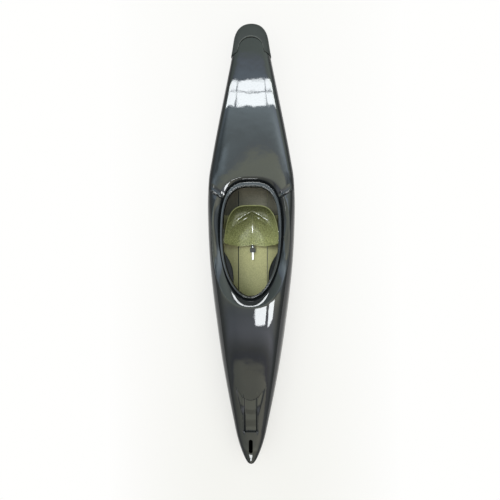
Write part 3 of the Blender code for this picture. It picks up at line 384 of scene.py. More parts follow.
# %% Finish
class Finish:
    """A material, or the world, whose shader is wired piece by piece."""

    def __init__(self, name, owner=None):
        self.material = owner or bpy.data.materials.new(name)
        self.material.use_nodes = True
        self.tree = self.material.node_tree
        self.shader = self.tree.nodes.get("Principled BSDF") or self.tree.nodes["Background"]

    def join(self, value, socket):
        if isinstance(value, Wire):
            self.tree.links.new(value.socket, socket)
        elif hasattr(value, "__len__") and len(value) == 3 and len(socket.default_value) == 4:
            socket.default_value = (*value, 1.0)
        else:
            socket.default_value = value

    def add(self, kind, settings=None, inputs=None, output=0):
        """A new node: its settings, then the values or links of its inputs. Gives one of its outputs."""
        node = self.tree.nodes.new(kind)
        for key, value in (settings or {}).items():
            if key == "stops":
                ramp = node.color_ramp.elements
                while len(ramp) < len(value):
                    ramp.new(0.5)
                for element, (place, shade) in zip(ramp, value):
                    element.position = place
                    element.color = (*shade, 1.0)
            else:
                setattr(node, key, value)
        for key, value in (inputs or {}).items():
            self.join(value, node.inputs[key])
        return Wire(self, node.outputs[output])

    def place(self):
        """Position on the object, in metres."""
        return self.add("ShaderNodeTexCoord", output=3)

    def axes(self, where=None):
        split = self.add("ShaderNodeSeparateXYZ", {}, {0: where or self.place()})
        return [Wire(self, output) for output in split.socket.node.outputs]

    def noise(self, scale, detail=2.0, roughness=0.5, stretch=None):
        where = self.place()
        if stretch:
            where = self.add("ShaderNodeMapping", {}, {"Vector": where, "Scale": stretch})
        inputs = {"Vector": where, "Scale": scale, "Detail": detail, "Roughness": roughness}
        return self.add("ShaderNodeTexNoise", {}, inputs)

    def blend(self, factor, first, second):
        """A colour between two others: the first where the factor is 0, the second where it is 1."""
        inputs = {0: factor, 6: first, 7: second}
        return self.add("ShaderNodeMix", {"data_type": "RGBA"}, inputs, output=2)

    def scaled(self, colour, factor):
        """A colour made lighter or darker by a factor."""
        return self.add("ShaderNodeVectorMath", {"operation": "SCALE"}, {0: colour, 3: factor})

    def ramp(self, value, *stops):
        return self.add("ShaderNodeValToRGB", {"stops": stops}, {0: value})

    def band(self, value, low, high, to_low=0.0, to_high=1.0):
        """Maps a range of values onto another, and holds it there."""
        inputs = {0: value, 1: low, 2: high, 3: to_low, 4: to_high}
        return self.add("ShaderNodeMapRange", {"clamp": True}, inputs)

    def bump(self, height, distance, after=None):
        inputs = {"Height": height, "Distance": distance}
        if after:
            inputs["Normal"] = after
        return self.add("ShaderNodeBump", {}, inputs)

    def wear(self, **sockets):
        """Sets or links the shader's own sockets."""
        for key, value in sockets.items():
            self.join(value, self.shader.inputs[key.replace("_", " ")])
        return self.material

    def layer(self, factor, under, over):
        """Shows one shader where the factor is 0 and the other where it is 1."""
        mixed = self.add("ShaderNodeMixShader", {}, {0: factor, 1: under, 2: over})
        self.join(mixed, self.tree.nodes["Material Output"].inputs["Surface"])


# %% [markdown]
# ## A woven laminate
# The boat is woven cloth set in resin. In a two-by-two twill each tow passes over two and under two, and
# the step moves one tow each row, which draws the diagonal. Cell numbers and a remainder give that
# pattern with no image. Tows are about 2.5 mm wide, so the weave shows close up and melts into an even
# tone from a few metres, as on the real boat.

# %% The twill mask and its tows
TOW = 0.0025


def twill(finish):
    """1 where the lengthwise tow is on top and 0 where the crosswise one is, and the tows' roundness."""
    x, y, z = finish.axes()
    on_top = (((x / TOW).floor() - (y / TOW).floor()) % 4.0) < 2.0
    lengthwise = (x * (math.pi / TOW)).sine()
    crosswise = (y * (math.pi / TOW)).sine()
    round_length = lengthwise * lengthwise
    round_cross = crosswise * crosswise
    return on_top, on_top * round_length + (1.0 - on_top) * round_cross


# %% Dark gel coat over the twill
GEL = (0.009, 0.010, 0.011)
GEL_PALE = (0.014, 0.016, 0.018)


def gel_coat(name, ripple):
    """Dark resin with the weave just visible under a thin clear gloss, and the slight waves of a laminate."""
    finish = Finish(name)
    on_top, tows = twill(finish)
    cloud = finish.noise(5.0, 3.0, 0.55)
    tone = finish.blend(finish.band(cloud, 0.3, 0.7), GEL, GEL_PALE)
    lit = finish.blend(0.35 * tows * (0.4 + 0.6 * on_top), tone, [v * 1.9 for v in GEL_PALE])
    dust = finish.band(finish.noise(420.0, 2.0, 0.6), 0.66, 0.85, 0.0, 0.03)
    scratches = finish.noise(60.0, 4.0, 0.7, stretch=(9.0, 0.35, 1.0))
    rough = finish.band(scratches, 0.62, 0.78, 0.01, 0.07) + dust
    waves = finish.noise(11.0, 2.0, 0.45)
    print_through = finish.bump(tows, 0.000004)
    surface_waves = finish.bump(waves, ripple, after=print_through)
    return finish.wear(
        Base_Color=lit, Roughness=rough, Normal=surface_waves, Coat_Weight=0.25, Coat_Roughness=0.01,
    )


def bare_skirt(material):
    """Under the lip the rim is bare black laminate, which shines little."""
    finish = Finish(material.name, material)
    gloss = Wire(finish, finish.shader.outputs[0])
    plain = {"Base Color": (0.008, 0.008, 0.009), "Roughness": 0.6, "Specular IOR Level": 0.1}
    matt = finish.add("ShaderNodeBsdfPrincipled", {}, plain)
    x, y, z = finish.axes()
    over_ledge = z + LEDGE_SLOPE * y - LEDGE_HEIGHT
    lip = finish.band(over_ledge, COAMING_NECK - 0.007, COAMING_NECK - 0.004)
    finish.layer(lip, matt, gloss)


deck_coat = gel_coat("deck gel coat", 0.0005)
hull_coat = gel_coat("hull gel coat", 0.00035)
rim_coat = gel_coat("rim gel coat", 0.0001)
bare_skirt(rim_coat)
print("gel coats made")


# %% [markdown]
# ## Olive cloth for the seat and the floor
# The seat and the floor are left as bare cloth and resin: green and yellow tows together read as olive.
# The seat has more resin, so it is darker, and resin that pooled along its folds shines. The floor is drier
# and paler.

# %% Folds and woven cloth
# Each fold: where it crosses the middle line, how much it runs forward, and how far out it begins
FOLDS = ((0.227, 0.53, -0.02), (0.203, 0.62, 0.02))
FOLD_WIDTH = 0.006
FOLD_HEIGHT = 0.0034
FOLD_REACH = 0.105
FOLD_END = 0.010


def folds(finish):
    """1 along the seat's two V-shaped folds, and 0 away from them."""
    x, y, z = finish.axes()
    out = (x * x) ** 0.5
    total = 0.0
    for top, lean, inner in FOLDS:
        away = (y - top + lean * out) * (1 / (FOLD_WIDTH * math.hypot(1, lean)))
        total = total + math.e ** (-1.0 * away * away) * finish.band(out, inner, inner + 2 * FOLD_END)
    return total * finish.band(out, FOLD_REACH - FOLD_END, FOLD_REACH + FOLD_END, 1.0, 0.0)


def cloth(name, lengthwise, crosswise, roughness, shine, grain):
    """Woven tows in resin, blotched where the resin pooled. grain is the contrast of the speckles."""
    finish = Finish(name)
    on_top, tows = twill(finish)
    patches = finish.noise(9.0, 4.0, 0.6)
    coarse = finish.noise(170.0, 3.0, 0.6)
    woven = finish.blend(on_top, crosswise, lengthwise)
    shaded = finish.blend(0.55 * (1.0 - tows), woven, [v * 0.35 for v in crosswise])
    pools = finish.band(patches, 0.35, 0.7, 0.0, 0.25)
    blotched = finish.blend(pools, shaded, [v * 0.55 for v in lengthwise])
    tone = finish.scaled(blotched, finish.band(coarse, 0.32, 0.68, 1.0 - grain, 1.0 + grain))
    rough = finish.band(finish.noise(45.0, 3.0, 0.6), 0.4, 0.7, roughness, roughness + 0.12)
    height = finish.bump(tows, 0.00003)
    waves = finish.bump(finish.noise(16.0, 2.0, 0.5), 0.0006, after=height)
    finish.wear(Roughness=rough, Normal=waves, Coat_Roughness=0.05, Specular_IOR_Level=shine)
    return finish, tone


# %% Cloths of the seat and the floor
# The seat: painted shade behind and painted light in front, a painted highlight along its rim, and glossy
# resin on its folds and spine
finish, tone = cloth("seat laminate", (0.220, 0.222, 0.100), (0.124, 0.134, 0.053), 0.22, 0.04, 0.70)
x, y, z = finish.axes()
# Lighter in front and darker behind: painted light and painted shade
seat_painted_light_and_shade = finish.scaled(tone, finish.band(y, 0.03, 0.24, 1.75, 0.40))
back = finish.band(y, 0.030, 0.269)
# A pale line along the top of the rim: a painted highlight
rim_highlight_band = finish.band(z + 0.014 * back * back - 0.132, -0.006, -0.002)
rim_highlighted = finish.blend(0.8 * rim_highlight_band, seat_painted_light_and_shade, (0.34, 0.35, 0.17))
spine = finish.band(x * x, 0.0, 0.000012, 1.0, 0.0) * finish.band(y, 0.215, 0.235, 1.0, 0.0)
pooled = (folds(finish) + spine) * finish.band(finish.noise(55.0, 2.0, 0.6), 0.36, 0.50)
seat_cloth = finish.wear(Base_Color=rim_highlighted, Coat_Weight=finish.band(pooled, 0.2, 0.6))

# The floor's two cloths darken towards the bilges: a painted shade
finish, tone = cloth("floor laminate", (0.620, 0.585, 0.300), (0.515, 0.487, 0.240), 0.38, 0.10, 0.20)
x, y, z = finish.axes()
tone_with_painted_shade = finish.scaled(tone, finish.band(x * x, 0.007, 0.020, 1.0, 0.75))
floor_cloth = finish.wear(Base_Color=tone_with_painted_shade, Coat_Weight=0.05)

finish, tone = cloth("rear floor laminate", (0.310, 0.290, 0.225), (0.220, 0.205, 0.155), 0.45, 0.06, 0.20)
x, y, z = finish.axes()
tone_with_painted_shade = finish.scaled(tone, finish.band(x * x, 0.004, 0.014, 1.1, 0.60))
rear_cloth = finish.wear(Base_Color=tone_with_painted_shade)
print("cloths made")


# %% [markdown]
# ## Soft, black and bright finishes
# The cap on the stern is a moulded soft rubber, matt with fine pores and scuffs where it touches things.
# The braces are black laminate, the knobs moulded plastic, the fittings bare alloy and bright steel.

# %% Rubber of the bumper
NOTCH_HALF = 0.0885
NOTCH_DEPTH = 0.130
NOTCH_HEEL = 0.033
NOTCH_POWER = 0.9


def bumper_rubber():
    finish = Finish("bumper rubber")
    pores = finish.noise(1400.0, 2.0, 0.6)
    cloud = finish.noise(14.0, 4.0, 0.6)
    scuffs = finish.band(finish.noise(70.0, 5.0, 0.75, stretch=(0.4, 4.0, 1.0)), 0.6, 0.78)
    tone = finish.blend(finish.band(cloud, 0.35, 0.7), (0.037, 0.043, 0.042), (0.049, 0.056, 0.054))
    scuffed_and_highlighted = finish.blend(0.35 * scuffs, tone, (0.09, 0.10, 0.095))
    x, y, z = finish.axes()
    across = finish.band(x * x, 0.0, NOTCH_HALF**2, 1.0, 0.0) ** (NOTCH_POWER / 2)
    from_edge = y - (BUMPER_LEG + NOTCH_HEEL) - (NOTCH_DEPTH - NOTCH_HEEL) * across
    # The edge of the crescent gets a pale painted highlight, but not where its legs leave it
    edge = finish.band(from_edge, 0.003, 0.008, 0.8, 0.0) * (across > 0.12)
    scuffed_and_highlighted = finish.blend(edge, scuffed_and_highlighted, (0.16, 0.17, 0.165))
    rough = 0.62 + 0.18 * cloud - 0.12 * scuffs
    return finish.wear(
        Base_Color=scuffed_and_highlighted, Roughness=rough, Normal=finish.bump(pores, 0.00006), Specular_IOR_Level=0.3,
    )


# %% Black laminate, moulded plastic and foam
def black_laminate(name, base, shine=0.15):
    finish = Finish(name)
    on_top, tows = twill(finish)
    # The crowns of the tows, most of all of those lengthwise on top, are painted lighter: a painted sheen of
    # the weave
    tone = finish.blend(tows * (0.3 + 0.7 * on_top), base, [v * 2.2 for v in base])
    rough = finish.band(finish.noise(80.0, 4.0, 0.7), 0.35, 0.75, 0.22, 0.42)
    return finish.wear(
        Base_Color=tone, Roughness=rough, Normal=finish.bump(tows, 0.00002), Specular_IOR_Level=shine,
    )


def moulded_plastic():
    finish = Finish("moulded plastic")
    grain = finish.noise(1800.0, 2.0, 0.6)
    cloud = finish.noise(40.0, 3.0, 0.6)
    tone = finish.blend(finish.band(cloud, 0.3, 0.7), (0.016, 0.016, 0.017), (0.030, 0.030, 0.031))
    return finish.wear(Base_Color=tone, Roughness=0.38 + 0.2 * grain, Normal=finish.bump(grain, 0.00004))


def closed_cell_foam():
    finish = Finish("closed-cell foam")
    where = finish.place()
    cells = finish.add("ShaderNodeTexVoronoi", {"feature": "F1"}, {"Vector": where, "Scale": 700.0})
    stains = finish.noise(12.0, 4.0, 0.6)
    tone = finish.blend(finish.band(stains, 0.35, 0.75), (0.62, 0.63, 0.63), (0.47, 0.48, 0.47))
    return finish.wear(Base_Color=tone, Roughness=0.85 + 0.1 * stains, Normal=finish.bump(cells, 0.0003))


# %% Alloy and steel
def metal(name, tone, low, high, brush):
    """Bare metal with a lengthwise brush and the dull bloom it gets in salt water."""
    finish = Finish(name)
    lines = finish.noise(300.0, 3.0, 0.6, stretch=brush)
    bloom = finish.noise(50.0, 5.0, 0.65)
    shade = finish.blend(finish.band(bloom, 0.4, 0.75), tone, [v * 0.72 for v in tone])
    rough = finish.band(lines, 0.3, 0.7, low, high) + 0.1 * bloom
    return finish.wear(Base_Color=shade, Roughness=rough, Metallic=1.0, Normal=finish.bump(lines, 0.00001))


bumper_soft = bumper_rubber()
black = black_laminate("black laminate", (0.009, 0.009, 0.010))
seam_resin = black_laminate("seam resin", (0.010, 0.010, 0.011), 0.3)
# The slot's pocket is black laminate painted darker still and without shine: a painted shade for its deep
# well
pocket = black_laminate("pocket laminate", (0.001, 0.001, 0.001), 0.0)
# A paler laminate for one of the two like floor strips: painted light
strip_painted_light = black_laminate("strip painted lighter", (0.170, 0.165, 0.110))
plastic = moulded_plastic()
foam = closed_cell_foam()
alloy = metal("brushed alloy", (0.60, 0.61, 0.62), 0.28, 0.45, (1.0, 0.05, 1.0))
dark_metal = metal("dark anodised alloy", (0.055, 0.055, 0.052), 0.30, 0.45, (1.0, 0.2, 1.0))
steel = metal("bright steel", (0.80, 0.81, 0.82), 0.12, 0.22, (1.0, 0.1, 1.0))
print("small finishes made")


# %% [markdown]
# ## Sending a piece aboard
# Each new piece stands for the solid of its name, moves with its body and takes one of the finishes above.

# %% Piece helper
def aboard(obj, node, material, body="boat"):
    obj.data.materials.clear()
    obj.data.materials.append(material)
    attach(obj, body)
    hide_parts(node)
    low, high = obj.bound_box[0], obj.bound_box[6]
    size = [round((h - l) * 1000) for l, h in zip(low, high)]
    print(f"{obj.name}: {len(obj.data.polygons)} faces, {size} mm")


# %% [markdown]
# ## Deck columns and rows
# Every row across the deck has the same columns, so the patches join without gaps. They are shares of the
# half beam that crowd towards the gunwale, where the shoulder turns down, and fall on the scoop's edges.

# %% Shares of the half beam and rows along the boat
SCOOP_SHARE = 0.58
CHANNEL_SHARES = (0.35, 0.39)
HORN_SHARE = 0.53
COLUMNS = steps(0.0, (CHANNEL_SHARES[0], 8), (CHANNEL_SHARES[1], 5), (HORN_SHARE, 4), (SCOOP_SHARE, 5))
COLUMNS += crowd(SCOOP_SHARE, 1.0, 16, 2.2)
FRAME_REAR = 0.500
FRAME_FRONT = -FRAME_REAR
STERN_ROWS = steps(FRAME_REAR, (BUMPER_LEG, 18)) + crowd(BUMPER_LEG, STERN_END, 14)


def deck_row(y):
    half = half_beam(y)
    crown = [(share * half, y, deck_height(share, y, 0.0)) for share in COLUMNS]
    return crown + [(half, y, sheer(y))]


print(len(COLUMNS), "columns and", len(STERN_ROWS), "stern rows")

# %% [markdown]
# ## The scoop in the bow deck
# Near the bow the deck ends in a tongue over a sunk channel, which runs out into a shallow pocket. The rows
# are bent into the tongue's curve, and the inner columns sink below the deck: that way the scoop's edges
# run along the mesh and stay crisp.

# %% Stations and rows of the scoop
SCOOP_END = 0.230 - HALF_LENGTH
SCOOP_LENGTH = 0.310
POCKET_LENGTH = 0.105
TONGUE_LENGTH = 0.090
SCOOP_STEP = 0.007
TONGUE_ROOT = SCOOP_END + SCOOP_LENGTH
SCOOP_BREAK = SCOOP_END + POCKET_LENGTH
SCOOP_MIDDLE = (TONGUE_ROOT + SCOOP_BREAK) / 2
SCOOP_DEPTH = 0.016
SCOOP_SIDE_DEPTH = 0.008
POCKET_DEPTH = 0.021
HORN_HALF = 0.107
WAIST_HALF = 0.054
CHANNEL_FLOOR_HALF = 0.0350
CHANNEL_HALF = 0.0475

# Where a row is, how far it is swept into the tongue's curve, and how deep the channel and its sides are
SCOOP_STATIONS = np.array((
    (FRAME_FRONT, 0.0, 0.0, 0.0),
    (TONGUE_ROOT, 1.0, 0.0, 0.0),
    (TONGUE_ROOT - SCOOP_STEP, 1.0, 0.65 * SCOOP_DEPTH, 0.7 * SCOOP_SIDE_DEPTH),
    (SCOOP_MIDDLE, 0.55, 0.8 * SCOOP_DEPTH, SCOOP_SIDE_DEPTH),
    (SCOOP_BREAK, 0.0, SCOOP_DEPTH, 0.3 * SCOOP_SIDE_DEPTH),
    (SCOOP_END, 0.0, POCKET_DEPTH, 0.1 * SCOOP_SIDE_DEPTH),
    (SCOOP_END - SCOOP_STEP, 0.0, 0.0, 0.0),
))
ROW_COUNTS = (14, 6, 6, 7, 8, 6)
BOW_ROWS = steps(FRAME_FRONT, *zip(SCOOP_STATIONS[1:, 0], ROW_COUNTS))
BOW_ROWS += crowd(SCOOP_STATIONS[-1, 0], BOW_END, 22)
print(len(BOW_ROWS), "bow rows")


# %% One row of the bow deck
def scoop_share(share, y):
    """Where a column runs on the bow deck: along the channel's walls and the scoop's edge."""
    at = min(max(y, SCOOP_END), TONGUE_ROOT)
    run = min((TONGUE_ROOT - at) / (TONGUE_ROOT - SCOOP_BREAK), 1.0)
    edge = HORN_HALF + (WAIST_HALF - HORN_HALF) * run
    walls = [half / half_beam(at) for half in (CHANNEL_FLOOR_HALF, CHANNEL_HALF, edge)]
    blend = min((FRAME_FRONT - y) / (FRAME_FRONT - TONGUE_ROOT), 1.0)
    before = (*CHANNEL_SHARES, SCOOP_SHARE)
    knots = [a + (b - a) * blend for a, b in zip(before, walls)]
    return float(np.interp(share, (0.0, *before, 1.0), (0.0, *knots, 1.0)))


def eased(place, places, values):
    """Between stations that differ, the value eases in and out, so a wall has round edges."""
    i = min(max(int(np.searchsorted(places, place)) - 1, 0), len(places) - 2)
    t = min(max((place - places[i]) / (places[i + 1] - places[i]), 0.0), 1.0)
    if abs(values[i + 1] - values[i]) > 0.003:
        t = t * t * (3 - 2 * t)
    return float(values[i] + (values[i + 1] - values[i]) * t)


def bow_row(y):
    stations = SCOOP_STATIONS[::-1]
    sweep = float(np.interp(y, stations[:, 0], stations[:, 1]))
    depth, side = (eased(y, stations[:, 0], stations[:, i]) for i in (2, 3))
    edge = scoop_share(SCOOP_SHARE, y)
    points = []
    for share in COLUMNS:
        inside = max(0.0, 1 - (scoop_share(share, y) / edge) ** 2)
        place = y - TONGUE_LENGTH * sweep * inside
        out = scoop_share(share, place)
        drop = eased(share, (0.0, *CHANNEL_SHARES, HORN_SHARE, SCOOP_SHARE), (depth, depth, side, side, 0.0))
        drop = drop if share < SCOOP_SHARE else 0.0
        points.append((out * half_beam(place), place, deck_height(out, place, 1.0, drop)))
    return points + [(half_beam(y), y, sheer(y))]


# %% [markdown]
# ## Rings round the cockpit
# From each place on the opening's edge a line runs out over the ledge, up the recess wall, over its
# rounded edge and across the deck to the gunwale. Behind the paddler's hips the lines climb a step, where
# the low rear deck meets the high sides: a groove, a ramp and a short wall.

# %% Places round the cockpit
REAR_CORNER_ANGLE = 38.0
FRONT_CORNER_ANGLE = 36.0
HIP_ROWS = [FRAME_REAR, 0.434, 0.410, 0.386, 0.377, 0.364, 0.336]
HIP_ANGLES = [REAR_CORNER_ANGLE, 46.0, 49.2, 52.4, 53.7, 55.5, 59.5]
LINER_EDGE = 0.2055
LINES_PER_ROW = 10

SIDE_ROWS = HIP_ROWS[:-1] + steps(HIP_ROWS[-1], (LINER_EDGE, 2), (COCKPIT_Y, 2), (FRAME_FRONT, 7))
SIDE_ANGLES = HIP_ANGLES[:-1] + steps(HIP_ANGLES[-1], (90, 4), (180 - FRONT_CORNER_ANGLE, 7))
SIDE_RAISED = [0.0, 0.0, -0.15, 0.0, 0.275, 0.95] + [1.0] * 12


def cockpit_lines():
    """For each line: its turn, its far end in plan, and how far it is raised."""
    lines = []
    for share in COLUMNS[:-1]:
        lines.append((REAR_CORNER_ANGLE * share, share * half_beam(FRAME_REAR), FRAME_REAR, 0.0))
    numbers = np.arange(len(SIDE_ROWS))
    for place in np.linspace(0, numbers[-1], LINES_PER_ROW * numbers[-1] + 1):
        turn, y, raised = (float(np.interp(place, numbers, v)) for v in (SIDE_ANGLES, SIDE_ROWS, SIDE_RAISED))
        lines.append((turn, half_beam(y), y, raised))
    for share in COLUMNS[-2::-1]:
        lines.append((180 - FRONT_CORNER_ANGLE * share, share * half_beam(FRAME_FRONT), FRAME_FRONT, 1.0))
    return lines


lines = cockpit_lines()
print(len(lines), "lines round the cockpit")

# %% One line out from the cockpit
EDGE_ROUND = (0.004, 0.014)
FOOT_ROUND = 0.08
BESIDE_POWER = 6
POINTS_UP = 17


def cockpit_line(turn, far_x, far_y, raised):
    """Across the ledge, up the gutter beside the lip, over the ridge and down the deck to the gunwale."""
    near_x, near_y = recess(turn)
    beside = math.sin(math.radians(turn)) ** BESIDE_POWER
    rounded = EDGE_ROUND[0] + (EDGE_ROUND[1] - EDGE_ROUND[0]) * beside
    first = rounded / math.hypot(far_x - near_x, far_y - near_y)

    def on_deck(out):
        x = near_x + (far_x - near_x) * out
        y = near_y + (far_y - near_y) * out
        return np.array((x, y, deck_height(x / half_beam(y), y, raised)))

    def on_ledge(x, y):
        return np.array((x, y, ledge(y)))

    edge = on_ledge(*opening(turn, COAMING_WALL + FIT))
    foot = on_ledge(*opening(turn, lip_width(turn) + GUTTER))
    corner = on_deck(0.0)
    width, rise = math.dist(corner[:2], foot[:2]), corner[2] - foot[2]
    slope = WALL_SLOPE + (SIDE_SLOPE - WALL_SLOPE) * beside
    foot[2] += max(rise - slope * width, 0.0)
    run, climb = (wall + (side - wall) * beside for wall, side in zip(WALL_CLIMB, SIDE_CLIMB))
    steep = foot + (corner - foot) * (run, run, climb)
    end = on_deck(first)
    path = [edge, (edge + foot) / 2, foot + FOOT_ROUND * (edge - foot)]
    climbs = np.linspace(0, 1, POINTS_UP)
    for t in climbs[:-1]:
        u = 1 - t
        path.append(u**3 * foot + 3 * u * u * t * steep + 3 * u * t * t * corner + t**3 * end)
    return path + [on_deck(first + (1 - first) * (1 - (1 - t) ** 2)) for t in climbs]


# %% Deck piece, with the slot cut through it
SLOT_Y = 0.126 - HALF_LENGTH
SLOT_LENGTH = 0.094
SLOT_WIDTH = 0.027
SLOT_DEPTH = 0.045
ROUND_STEPS = 12


def slot_prism():
    """A long block with half round ends, tilted with the deck, that cuts the slot."""
    radius = SLOT_WIDTH / 2 + FIT
    straight = SLOT_LENGTH / 2 - SLOT_WIDTH / 2
    angles = np.linspace(0, math.pi, ROUND_STEPS + 1)
    outline = [(radius * math.cos(a), straight + radius * math.sin(a)) for a in angles]
    outline += [(-x, -y) for x, y in outline]
    count = len(outline)
    points = [(x, y, z) for z in (-SLOT_DEPTH / 2, SLOT_DEPTH / 2) for x, y in outline]
    sides = [(j, (j + 1) % count, (j + 1) % count + count, j + count) for j in range(count)]
    mesh = bpy.data.meshes.new("slot prism")
    mesh.from_pydata(points, [], sides + [range(count - 1, -1, -1), range(count, 2 * count)])
    prism = linked("slot_prism", mesh)
    rear, front = (deck_height(0, SLOT_Y + sign * SLOT_LENGTH / 2, 1) for sign in (1, -1))
    prism.location = (0, SLOT_Y, deck_height(0, SLOT_Y, 1))
    prism.rotation_euler.x = math.atan2(rear - front, SLOT_LENGTH)
    return prism


low, high = (deck_height(0.6, HIP_ROWS[4], raised) for raised in (0.0, 1.0))
print(f"the hip step rises {1000 * (high - low):.0f} mm in all")
stern_grid = [deck_row(y) for y in STERN_ROWS]
cockpit_grid = [cockpit_line(*line) for line in lines]
side_lines = lines[len(COLUMNS) - 1:len(lines) - len(COLUMNS) + 1]
joint_grid = [[(half_beam(y), y, sheer(y) + up) for up in (JOINT_HEIGHT, 0.0)] for _, _, y, _ in side_lines]
bow_grid = [bow_row(y) for y in BOW_ROWS]
deck = surface("deck", [stern_grid, cockpit_grid, joint_grid, bow_grid])
mirrored(deck)
thickened(deck, LAMINATE)
prism = slot_prism()
slot = deck.modifiers.new("Slot", "BOOLEAN")
slot.operation = "DIFFERENCE"
slot.solver = "EXACT"
slot.object = prism
bpy.context.view_layer.update()
settled(deck, 28)
bpy.data.objects.remove(prism)
aboard(deck, "deck_shell", deck_coat)

# %% [markdown]
# ## Hull, seam band and floor
# The hull is flat in the middle with round bilges, and its ends sweep up. The dark band covers the joint
# of hull and deck. The floor's cloth is the same skin moved in by the laminate's thickness.

# %% Hull
GUNWALE_ROWS = STERN_ROWS[:0:-1] + sorted([line[2] for line in side_lines], reverse=True) + BOW_ROWS[1:]
BILGE_STEPS = 20
ROW_GAP = 0.004


def hull_row(y):
    half, low, top = half_beam(y), keel(y), sheer(y)
    flat = FLAT_SHARE * half
    depth = top - JOINT_HEIGHT - low
    angles = [math.pi / 2 * i / BILGE_STEPS for i in range(BILGE_STEPS + 1)]
    bilge = [(flat + (half - flat) * math.sin(a), y, low + depth * (1 - math.cos(a))) for a in angles]
    return [(0.0, y, low), (flat / 2, y, low)] + bilge + [(half, y, top)]


hull = surface("hull", [[hull_row(y) for y in GUNWALE_ROWS]], (0, 0, -1))
settled(thickened(mirrored(hull), LAMINATE), 50)
aboard(hull, "hull_shell", hull_coat)


# %% Seam band
SEAM_WIDTH = 0.011


def band_grid():
    rows = [BUMPER_LEG - FIT] + [y for y in GUNWALE_ROWS if y < BUMPER_LEG - ROW_GAP]
    outline = [(half_beam(y), y) for y in rows]
    grid = []
    for i, (x, y) in enumerate(outline):
        before = Vector(outline[max(i - 1, 0)])
        after = Vector(outline[i + 1]) if i + 1 < len(outline) else Vector((-before.x, before.y))
        out = Vector((before.y - after.y, after.x - before.x)).normalized()
        middle = (x + FIT * out.x, y + FIT * out.y)
        grid.append([(*middle, sheer(y) + up) for up in (-SEAM_WIDTH / 2, 0.0, SEAM_WIDTH / 2)])
    return grid


band = surface("seam_strip", [band_grid()], (1, 0, 0))
settled(bevelled(thickened(mirrored(band), SEAM_THICKNESS, 1), 0.0004), 50)
aboard(band, "seam_band", seam_resin)

# %% Floor cloths
LINER = 0.001
LINER_FRONT = -0.595
LINER_COLUMNS = 19
for name, node, low, high, material, slot_name in (
    ("floor_cloth", "floor_liner", LINER_FRONT, LINER_EDGE, floor_cloth, "floor_laminate"),
    ("rear_floor_cloth", "rear_floor_liner", LINER_EDGE + FIT, FRAME_REAR, rear_cloth, "rear_floor_laminate"),
):
    rows = [low] + [y for y in GUNWALE_ROWS[::-1] if low + ROW_GAP < y < high - ROW_GAP] + [high]
    grid = [hull_row(y)[:LINER_COLUMNS] for y in rows]
    cloth_piece = surface(name, [inset(grid, LAMINATE + FIT)])
    settled(thickened(mirrored(cloth_piece), LINER, 1), 50)
    aboard(cloth_piece, node, material)

# %% [markdown]
# ## Cockpit rim
# The rim holds the spraydeck's elastic: a skirt through the deck, a neck and a lip that turns out and
# down, broad behind and narrow in front. A profile swept round the opening's egg makes it.

# %% Rim
BEAD = 0.0035
RIM_RINGS = 121


def rim_profile(turn):
    """Up the skirt, over a small bead, across the hollow of the lip and down round its edge."""
    lip = lip_width(turn)
    neck = COAMING_NECK
    path = [(0.0, -COAMING_SKIRT), (0.0, -0.012), (0.0, 0.008), (0.0, neck - BEAD - 0.001)]
    for angle in np.linspace(0.35, 2.3, 7):
        path.append((BEAD - BEAD * math.cos(angle), neck - BEAD + BEAD * math.sin(angle)))
    start, end = path[-1][0], lip - 0.004
    for share in (0.2, 0.45, 0.7, 1.0):
        path.append((start + (end - start) * share, neck - 0.0020 + 0.0010 * share))
    for angle in (0.5, 1.0, 1.57):
        path.append((end + 0.0045 * math.sin(angle), neck - 0.005 + 0.004 * math.cos(angle)))
    return path + [(lip + 0.0005, neck - 0.0085)]


rim_grid = []
for turn in np.linspace(0, 180, RIM_RINGS):
    ring = []
    for out, up in rim_profile(turn):
        x, y = opening(turn, out)
        ring.append((x, y, ledge(y) + up))
    rim_grid.append(ring)
rim = surface("cockpit_rim", [rim_grid])
settled(bevelled(thickened(mirrored(rim), COAMING_WALL), 0.0006, 2, 60), 40)
aboard(rim, "cockpit_coaming", rim_coat)

# %% [markdown]
# ## Stern bumper
# The rules of the game ask for soft ends. The cap is the boat's own skin grown outwards, thin along its
# legs and thick at the tip. Each column of the grid stops where it meets the crescent cut out of the
# deck side, so the cut edge is a clean rim with a small round.

# %% Bumper
BUMPER_SIDE = 0.007
CAP_ROWS = 25


def notch(x):
    """Where the crescent's edge lies along the boat, at a distance from the middle."""
    leg = half_beam(BUMPER_LEG) + BUMPER_SIDE
    if x >= NOTCH_HALF:
        return BUMPER_LEG + NOTCH_HEEL * (leg - x) / (leg - NOTCH_HALF)
    across = math.sqrt(1 - (x / NOTCH_HALF) ** 2)
    return BUMPER_LEG + NOTCH_HEEL + (NOTCH_DEPTH - NOTCH_HEEL) * across**NOTCH_POWER


def notch_end(share):
    """Where a column meets the crescent's edge, found by halving."""
    low, high = BUMPER_LEG, BUMPER_LEG + NOTCH_DEPTH
    for _ in range(30):
        middle = (low + high) / 2
        if notch(share * half_beam(middle)) > middle:
            low = middle
        else:
            high = middle
    return low


